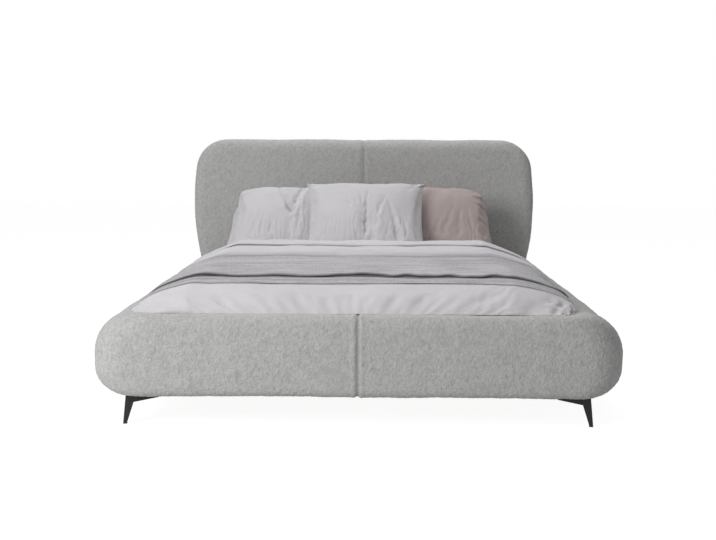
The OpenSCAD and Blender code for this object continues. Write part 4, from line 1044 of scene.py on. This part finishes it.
# Waves along the throw's edges, each as (height, radians per metre, shift): slow ones, fine ones that come
# and go, and those of the edge that is tucked in at the front
SLOW_WAVES = ((0.8, 7.3, 0.6), (0.7, 21.0, 2.0))
FINE_WAVES = ((0.8, 39.0, 0.0), (0.5, 71.0, 1.0))
TUCK_WAVES = ((1.0, 11.0, 2.0), (0.9, 29.0, 0.0), (0.6, 53.0, 1.0))


def sines(x, waves):
    """Sum of sine waves at a place x."""
    return sum(height * math.sin(rate * x + shift) for height, rate, shift in waves)


def lengths_along(line):
    """Length of a line from its start to each of its points, whose first two values are the place."""
    found = [0.0]
    for a, b in zip(line, line[1:]):
        found.append(found[-1] + math.dist(a[:2], b[:2]))
    return found


class BED_OT_throw(bpy.types.Operator):
    """Lays the folded linen throw over the duvet, from rail to rail."""
    bl_idname = "bed.throw"
    bl_label = "Throw"

    def execute(self, context):
        shape, slots = context.scene.bed_shape, materials_of(context.scene)
        tree = BVHTree.FromObject(bpy.data.objects["duvet_padded"], context.evaluated_depsgraph_get())
        lines, across = self.lines(shape.throw_thick), self.section(shape)
        count = len(across)
        faces = [(j * count + i, j * count + i + 1, (j + 1) * count + i + 1, (j + 1) * count + i)
                 for j in range(len(lines) - 1) for i in range(count - 1)]
        points = [p for line in lines for p in self.row(tree, across, line)]
        cloth = mesh_object("throw_folded", points, faces)
        # The UV map is the cloth laid flat, in metres
        widths, along = lengths_along(across), lengths_along(lines)
        layer = cloth.data.uv_layers.new(name="cloth")
        for loop in cloth.data.loops:
            j, i = divmod(loop.vertex_index, count)
            layer.data[loop.index].uv = (widths[i], along[j])
        # The dark edge, charcoal threads and painted shade, is kept for the material
        edge = [line[3] for line in lines for _ in across]
        cloth.data.attributes.new("edge", "FLOAT", "POINT").data.foreach_set("value", edge)
        solid = cloth.modifiers.new("cloth thickness", "SOLIDIFY")
        solid.thickness, solid.offset, solid.use_even_offset = shape.throw_thick, 0.0, False
        subdivided(cloth)
        dress(cloth, slots["throw_fabric"], "bedding", "throw_fabric", "throw")
        return {"FINISHED"}

    def lines(self, thick):
        """The folded cloth seen from the side, as (y, height off the duvet, share of the stack, dark edge).

        It runs from the lower hem back to the fold at the head and forward again on top. There its front
        edge rolls under and comes forward once more, so that the front shows a roll over a second edge.
        The dark edge says how far the charcoal threads and the painted shade show, from 0 to 1.
        """
        front, back, upper = THROW_LOW.y - 12 * MM, THROW_HIGH.y - 8 * MM, THROW_LOW.y + 133 * MM
        low, top = thick * 0.5 + 2 * MM, thick * 1.5 + 6 * MM
        stops = [front + 10.5 * MM * k for k in range(19)]
        stops += [stops[-1] + (back - stops[-1]) * k / 26 for k in range(1, 27)]
        # Painted shade on the lower layer, under the roll and up to 55 mm in front of it
        found = [(y, low, 0.0, max(0.0, 0.6 - 11 * max(0.0, upper - y))) for y in stops]
        turn = 0.5 * (top - low)
        for t in (36, 72, 108, 144):
            a = math.radians(t)
            found.append((back + turn * math.sin(a), low + turn * (1 - math.cos(a)), 0.0, 0.0))
        for k in range(51):
            # Painted shadow along the far fold, and the start of the dark front edge
            dark = 0.4 * (k > 49) + max(0.0, 0.42 - 0.06 * k)
            found.append((back + (upper - back) * k / 50, top, max(0.0, k / 50 - 0.9) * 10, dark))
        r = 3.6 * MM
        # The roll's face is dark: charcoal threads and painted shade of the gap beneath it
        for t, dark in ((40, 0.5), (80, 0.7), (120, 0.9), (165, 1.0)):
            a = math.radians(t)
            found.append((upper - r * math.sin(a), top - r * (1 - math.cos(a)), 1.0, dark))
        # From the underside of the roll: run and rise in millimetres, share of the stack, dark edge
        for run, rise, stack, dark in ((9, 0, 1.0, 1.0), (13, -2.4, 1.0, 1.0), (9, -4.8, 1.0, 1.0),
                                       (2, -5.0, 2.0, 1.0), (-5, -5.6, 2.0, 0.9)):
            found.append((upper + run * MM, top - 2 * r + rise * MM, stack, dark))
        return found

    def section(self, shape):
        """Line that the throw follows from its left hem to its right one: (x, z, outward x, outward z)."""
        places = [p for p in duvet_across(15 * MM) if p[0] == 0 or p[2] > 16]
        line = [duvet_point(shape, -0.5, DUVET_TOP, *place) for place in places]
        found = []
        for k, (x, z) in enumerate(line):
            before, after = line[max(0, k - 1)], line[min(len(line) - 1, k + 1)]
            run, rise = after[0] - before[0], after[1] - before[1]
            size = math.hypot(run, rise)
            found.append((x, z, -rise / size, run / size))
        return found

    def row(self, tree, across, line):
        """One line of the throw's points, cast onto the duvet and raised off it."""
        y, lift, stack, _ = line
        stacked = min(1.0, stack)
        found = []
        for x, z, ox, oz in across:
            out = Vector((ox, 0, oz))
            wave = sines(x, SLOW_WAVES) + sines(x, FINE_WAVES) * (0.6 + 0.5 * math.sin(4.3 * x))
            if stack > 1:
                wave = sines(x, TUCK_WAVES)
            # Both front edges wander along the bed by a few millimetres
            back = y + 5 * MM * wave * stacked + 4 * MM * math.sin(5.1 * x) * (y < THROW_LOW.y + 0.1)
            place = Vector((x, back, z))
            hit = tree.ray_cast(place + out * 0.08, -out, 0.2)[0]
            base = place if hit is None else hit
            # The roll stands up from the lower layer, and less so over the shoulders
            flat = 1 - 0.5 * min(1.0, max(0.0, (abs(x) - 0.62) / 0.16))
            puff = (8.5 + (2.2 if stack <= 1 else 1.2) * wave) * MM * stacked
            # Rucks of about a millimetre run across the bed, weaker in the roll
            ruck = 1.3 * MM * math.sin(60 * y + 4 * math.sin(3 * x)) * (stack > 0)
            ruck += 1.0 * MM * math.sin(140 * y + 6 * math.sin(5 * x) + 2) * (0.5 + 0.5 * math.sin(9 * x))
            if stack:
                ruck *= 0.3
            found.append(base + out * ((lift + puff) * flat + max(-1.2 * MM, ruck)))
        return found


PILLOWS = (
    # Name, CAD node, body, slot, slope in degrees, outer side, sag of the outer top corner, seed
    ("pillow_case_rear_left", "pillow_rear_left", "pillows_rear", "lilac_cotton", 28, -1, 0.055, 61),
    ("pillow_case_rear_right", "pillow_rear_right", "pillows_rear", "taupe_cotton", 28, 1, 0.055, 62),
    ("pillow_case_left", "pillow_left", "pillows_side", "lilac_cotton", 42, -1, 0.045, 63),
    ("pillow_case_right", "pillow_right", "pillows_side", "taupe_cotton", 42, 1, 0.06, 64),
    ("pillow_case_center", "pillow_center", "pillow_center", "lilac_cotton", 48, 0, 0.0, 65),
)

# Pressed folds of the pillows lying flat, each as its deep end, its faint end, its width and its depth
FOLDS = {
    "pillow_case_center": (
        ((0.000, -0.15), (0.014, 0.17), 0.036, 0.012), ((0.000, -0.12), (0.014, 0.16), 0.009, 0.009),
        ((0.034, -0.15), (0.082, 0.10), 0.013, 0.004), ((0.165, -0.15), (0.110, 0.07), 0.016, 0.010),
        ((0.163, -0.12), (0.140, 0.03), 0.007, 0.005), ((0.115, -0.12), (0.128, 0.02), 0.009, 0.003),
        ((-0.080, 0.03), (-0.115, 0.13), 0.012, 0.0035), ((-0.045, 0.04), (-0.085, 0.15), 0.009, 0.0035),
        ((-0.018, 0.05), (-0.034, 0.16), 0.009, 0.003), ((0.060, -0.02), (0.110, 0.11), 0.010, 0.003),
        ((0.200, -0.14), (0.190, 0.02), 0.010, 0.003), ((-0.300, 0.23), (-0.20, 0.16), 0.014, 0.005),
        ((0.300, 0.23), (0.20, 0.14), 0.016, 0.006), ((-0.29, -0.19), (-0.20, -0.11), 0.012, 0.005)),
    "pillow_case_left": (
        ((0.004, 0.00), (-0.080, 0.21), 0.016, 0.015), ((0.014, -0.01), (0.085, 0.23), 0.017, 0.019),
        ((0.000, -0.17), (0.012, 0.06), 0.024, 0.008), ((0.038, -0.14), (0.062, 0.10), 0.012, 0.004),
        ((-0.185, -0.13), (-0.130, 0.05), 0.014, 0.005), ((-0.225, -0.11), (-0.160, 0.08), 0.010, 0.004),
        ((-0.145, -0.13), (-0.112, 0.02), 0.010, 0.004), ((-0.098, -0.13), (-0.065, -0.02), 0.009, 0.003),
        ((-0.30, 0.05), (-0.18, 0.06), 0.012, 0.005), ((-0.30, 0.16), (-0.20, 0.13), 0.012, 0.005)),
    "pillow_case_right": (
        ((0.055, -0.13), (0.115, 0.06), 0.016, 0.005), ((0.135, -0.13), (0.150, 0.07), 0.014, 0.0035),
        ((0.215, -0.12), (0.185, 0.04), 0.012, 0.004), ((0.010, -0.13), (0.070, 0.01), 0.014, 0.0035),
        ((0.300, 0.22), (0.19, 0.15), 0.014, 0.006), ((0.300, 0.15), (0.20, 0.11), 0.011, 0.006),
        ((0.300, 0.08), (0.20, 0.06), 0.012, 0.005), ((0.300, -0.02), (0.21, -0.03), 0.012, 0.004)),
}


class BED_OT_pillows(bpy.types.Operator):
    """Makes the five pillows: stuffed cotton cases with drawn-in sides, pointed corners and pressed folds."""
    bl_idname = "bed.pillows"
    bl_label = "Pillows"

    def execute(self, context):
        slots = materials_of(context.scene)
        for name, node, body, slot, slope, outer, sag, seed in PILLOWS:
            size = REAR_PILLOW if "rear" in node else FRONT_PILLOW
            case = self.stuffed(name, size, seed)
            if name in FOLDS:
                places = crease(points_of(case), normals_of(case), FOLDS[name], seed)
                places = self.gathered(places, normals_of(case), seed)
            else:
                places = points_of(case)
            if outer:
                places = self.sagged(places, size, outer, sag)
            low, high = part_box(node)
            turn = Matrix.Rotation(math.radians(slope), 3, "X")
            places = places @ np.array(turn).T
            middle = (places.min(0) + places.max(0)) / 2
            places += np.array((low + high) / 2) - middle
            move_points(case, places)
            dress(case, slots[slot], body, slot, node)
        return {"FINISHED"}

    def gathered(self, places, normals, seed):
        """Adds the fine upright wrinkles of the lower half, where the weight of the pillow rests."""
        x, y = places[:, 0], places[:, 1]
        drift = swell(places * np.array((1.0, 0.5, 0.0)), seed + 3, 0.13)
        lines = np.sin(2 * math.pi * x / 0.024 + 3.2 * drift + 3 * y)
        patch = eased(swell(places * np.array((1.0, 0.4, 0.0)), seed + 5, 0.2), -0.5, 0.6)
        amount = 2.2 * MM * eased(-y, -0.05, 0.1) * patch * eased(normals[:, 2], 0.0, 0.3)
        return places - normals * (amount * np.maximum(0, lines) ** 2)[:, None]

    def sagged(self, places, size, outer, sag):
        """Lets a pillow's outer top corner sink and round off, where nothing leans against it."""
        across = np.clip(places[:, 0] * outer / (size[0] / 2), 0, 1)
        upper = np.clip(places[:, 1] / (size[1] / 2), 0, 1)
        sunk = sag * across ** 5 * upper ** 2
        drawn = 0.7 * sag * upper ** 4 * across ** 3
        return places - np.stack((drawn * outer, sunk, np.zeros(len(places))), 1)

    def stuffed(self, name, size, seed):
        """Pillow lying flat at the origin, filled from two flat panels sewn together round their edge."""
        w, h, t = size
        step = 11 * MM
        n, m = int(w / step), int(h / step)
        points, index = [], {}
        for s in (1, -1):
            for j in range(m + 1):
                for i in range(n + 1):
                    # Rows and columns stand closer together towards the edges
                    u, v = math.sin(math.pi * (i / n - 0.5)), math.sin(math.pi * (j / m - 0.5))
                    u, v = 0.55 * u + 0.45 * (2 * i / n - 1), 0.55 * v + 0.45 * (2 * j / m - 1)
                    rim = i in (0, n) or j in (0, m)
                    if s == -1 and rim:
                        index[s, j, i] = index[1, j, i]
                        continue
                    # The front is full, most of all towards its top, and the back is nearly flat
                    full = max(0.0, (1 - abs(u) ** 2.2) * (1 - v * v)) ** 0.7
                    index[s, j, i] = len(points)
                    full *= 1.7 * (1 + 0.34 * v) if s == 1 else 0.35
                    # The sides are drawn in between the corners
                    points.append((w / 2 * u * (1 - 0.055 * (1 - v * v)),
                                   h / 2 * v * (1 - 0.045 * (1 - u * u)), s * t / 2 * full))
        faces = []
        for s in (1, -1):
            for j in range(m):
                for i in range(n):
                    quad = (index[s, j, i], index[s, j, i + 1], index[s, j + 1, i + 1], index[s, j + 1, i])
                    faces.append(quad if s == 1 else quad[::-1])
        case = mesh_object(name, points, faces)
        places = points_of(case)
        places[:, 2] += swell(places, seed, 0.16) * 3 * MM
        move_points(case, places)
        simulate(case, 18, 18 * MM, 3.0, shrink_min=-0.03, tension_stiffness=20,
                 compression_stiffness=20, shear_stiffness=8, bending_stiffness=0.3, mass=0.25)
        subdivided(case)
        if name in FOLDS:
            subdivided(case)
        places = points_of(case)
        # The cloth puckers beside the seam
        pucker = swell(places * np.array((1.0, 1.0, 0.0)), seed + 7, 0.035) * 2.2 * MM
        edge = np.maximum(np.abs(places[:, 0]) / (w / 2), np.abs(places[:, 1]) / (h / 2))
        places[:, 2] += pucker * np.exp(-((edge - 0.86) / 0.09) ** 2) * np.sign(places[:, 2])
        span = places.max(0) - places.min(0)
        places -= (places.max(0) + places.min(0)) / 2
        move_points(case, places * (np.array(size) - 2 * MM) / span)
        return case


# Stage

class StudioLook(bpy.types.PropertyGroup):
    """Strengths of the studio's lights, and the camera's lens."""
    key: bpy.props.FloatProperty(
        name="Key Light", description="Power of the large soft light in front of the bed on the left",
        default=164.0, min=0, unit="POWER")
    fill: bpy.props.FloatProperty(
        name="Fill Light", description="Power of the soft light high over the head of the bed", default=59.0,
        min=0, unit="POWER")
    top: bpy.props.FloatProperty(
        name="Top Light", description="Power of the weak light above the foot of the bed", default=4.0, min=0,
        unit="POWER")
    world: bpy.props.FloatProperty(
        name="Surroundings", description="Strength of the even light from all round", default=0.3, min=0)
    lens: bpy.props.FloatProperty(
        name="Lens", description="Focal length of the camera in millimetres", default=56.01, min=20,
        unit="CAMERA")


def looked_at(tree):
    """1 for rays from the camera, from a gloss or through glass, and 0 for those that light the bed."""
    path = add(tree, "ShaderNodeLightPath").outputs
    sharp = add(tree, "ShaderNodeMath", {0: path["Is Camera Ray"], 1: path["Is Glossy Ray"]},
                operation="MAXIMUM").outputs[0]
    return add(tree, "ShaderNodeMath", {0: sharp, 1: path["Is Transmission Ray"]},
               operation="MAXIMUM").outputs[0]


# Yaw, pitch down and roll of the camera in degrees, and where it stands
CAMERA_TURN = (-0.76, 6.55, 0.24)
CAMERA_PLACE = (0.054, -5.209, 1.066)


class BED_OT_stage(bpy.types.Operator):
    """Makes the camera, the pale floor, the lights and the white surroundings."""
    bl_idname = "bed.stage"
    bl_label = "Studio"

    def execute(self, context):
        studio = context.scene.bed_studio
        self.camera(context.scene, studio)
        self.floor()
        self.lamp("key", studio.key, 2.2, (-3.2, -4.1, 2.3), (0, 0, 0.4))
        self.lamp("fill", studio.fill, 2.5, (0, 1.7, 3.6), (0, 0.3, 0.5))
        self.lamp("top", studio.top, 1.6, (0, -0.9, 3.0), (0, -0.9, 0.4), 100)
        self.surroundings(context.scene, studio)
        context.scene.view_settings.view_transform = "Standard"
        return {"FINISHED"}

    def camera(self, scene, studio):
        """Camera at the photograph's viewing angle: a little right of the middle, at a sitter's eye level."""
        yaw, pitch, roll = (math.radians(a) for a in CAMERA_TURN)
        ahead = Vector((math.sin(yaw) * math.cos(pitch), math.cos(yaw) * math.cos(pitch), -math.sin(pitch)))
        right = Vector((math.cos(yaw), -math.sin(yaw), 0))
        up = right.cross(ahead)
        tilted = math.cos(roll) * right + math.sin(roll) * up
        upright = math.cos(roll) * up - math.sin(roll) * right
        data = bpy.data.cameras.new("camera")
        data.lens, data.sensor_width, data.clip_end = studio.lens, 36.0, 60.0
        camera = bpy.data.objects.new("camera", data)
        camera.matrix_world = Matrix((tilted, upright, -ahead)).transposed().to_4x4()
        camera.location = CAMERA_PLACE
        scene.collection.objects.link(camera)
        scene.camera = camera

    def floor(self):
        """Plain floor that the camera sees as white, and that keeps the bed's shadow."""
        material, tree = new_material("white studio floor")
        matt = add(tree, "ShaderNodeBsdfDiffuse", {"Color": (0.8, 0.8, 0.8, 1)}).outputs[0]
        glow = add(tree, "ShaderNodeEmission", {"Color": (1, 1, 1, 1), "Strength": 0.93}).outputs[0]
        dim = add(tree, "ShaderNodeBsdfDiffuse", {"Color": (0.2, 0.2, 0.2, 1)}).outputs[0]
        lit = add(tree, "ShaderNodeAddShader", {0: glow, 1: dim}).outputs[0]
        shown = add(tree, "ShaderNodeMixShader", {0: looked_at(tree), 1: matt, 2: lit}).outputs[0]
        add(tree, "ShaderNodeOutputMaterial", {"Surface": shown})
        half = 14.0
        corners = [(-half, -half, 0), (half, -half, 0), (half, half, 0), (-half, half, 0)]
        floor = mesh_object("floor", corners, [(0, 1, 2, 3)])
        floor.data.materials.append(material)

    def lamp(self, name, power, size, place, target, spread=180):
        """Square soft light at a place, aimed at a target, its beam as wide as spread degrees."""
        data = bpy.data.lights.new(name, "AREA")
        data.spread = math.radians(spread)
        data.energy, data.size, data.shape = power, size, "SQUARE"
        lamp = bpy.data.objects.new(name, data)
        lamp.location = place
        lamp.rotation_euler = (Vector(target) - Vector(place)).to_track_quat("-Z", "Y").to_euler()
        bpy.context.scene.collection.objects.link(lamp)

    def surroundings(self, scene, studio):
        """World that lights the bed evenly and that the camera sees as white."""
        world = bpy.data.worlds.new("white surroundings")
        world.use_nodes = True
        tree = world.node_tree
        tree.nodes.clear()
        strength = add(tree, "ShaderNodeMapRange",
                       {"To Min": studio.world, "To Max": 1.0, "Value": looked_at(tree)}).outputs[0]
        glow = add(tree, "ShaderNodeBackground", {"Color": (1, 1, 1, 1), "Strength": strength}).outputs[0]
        add(tree, "ShaderNodeOutputWorld", {"Surface": glow})
        scene.world = world


STEPS = (BED_OT_stage, BED_OT_base, BED_OT_headboard, BED_OT_footboard, BED_OT_rails, BED_OT_mattress,
         BED_OT_duvet, BED_OT_throw, BED_OT_pillows)


class BED_PT_sidebar(bpy.types.Panel):
    """Sizes, colours and steps of the bed."""
    bl_idname = "BED_PT_sidebar"
    bl_label = "Upholstered Bed"
    bl_space_type = "VIEW_3D"
    bl_region_type = "UI"
    bl_category = "Bed"

    def draw(self, context):
        for group in (context.scene.bed_shape, context.scene.bed_finish, context.scene.bed_studio):
            box = self.layout.box()
            for name in group.__annotations__:
                box.prop(group, name)
        for step in STEPS:
            self.layout.operator(step.bl_idname)


CLASSES = (BedShape, BedFinish, StudioLook) + STEPS + (BED_PT_sidebar,)


def register():
    """Registers the classes and gives the scene their settings."""
    for kind in CLASSES:
        bpy.utils.register_class(kind)
    bpy.types.Scene.bed_shape = bpy.props.PointerProperty(type=BedShape)
    bpy.types.Scene.bed_finish = bpy.props.PointerProperty(type=BedFinish)
    bpy.types.Scene.bed_studio = bpy.props.PointerProperty(type=StudioLook)


def unregister():
    """Takes the settings and the classes away again."""
    del bpy.types.Scene.bed_shape, bpy.types.Scene.bed_finish, bpy.types.Scene.bed_studio
    for kind in reversed(CLASSES):
        bpy.utils.unregister_class(kind)


def main():
    register()
    for step in STEPS:
        group, call = step.bl_idname.split(".")
        getattr(getattr(bpy.ops, group), call)()


if __name__ == "__main__":
    main()
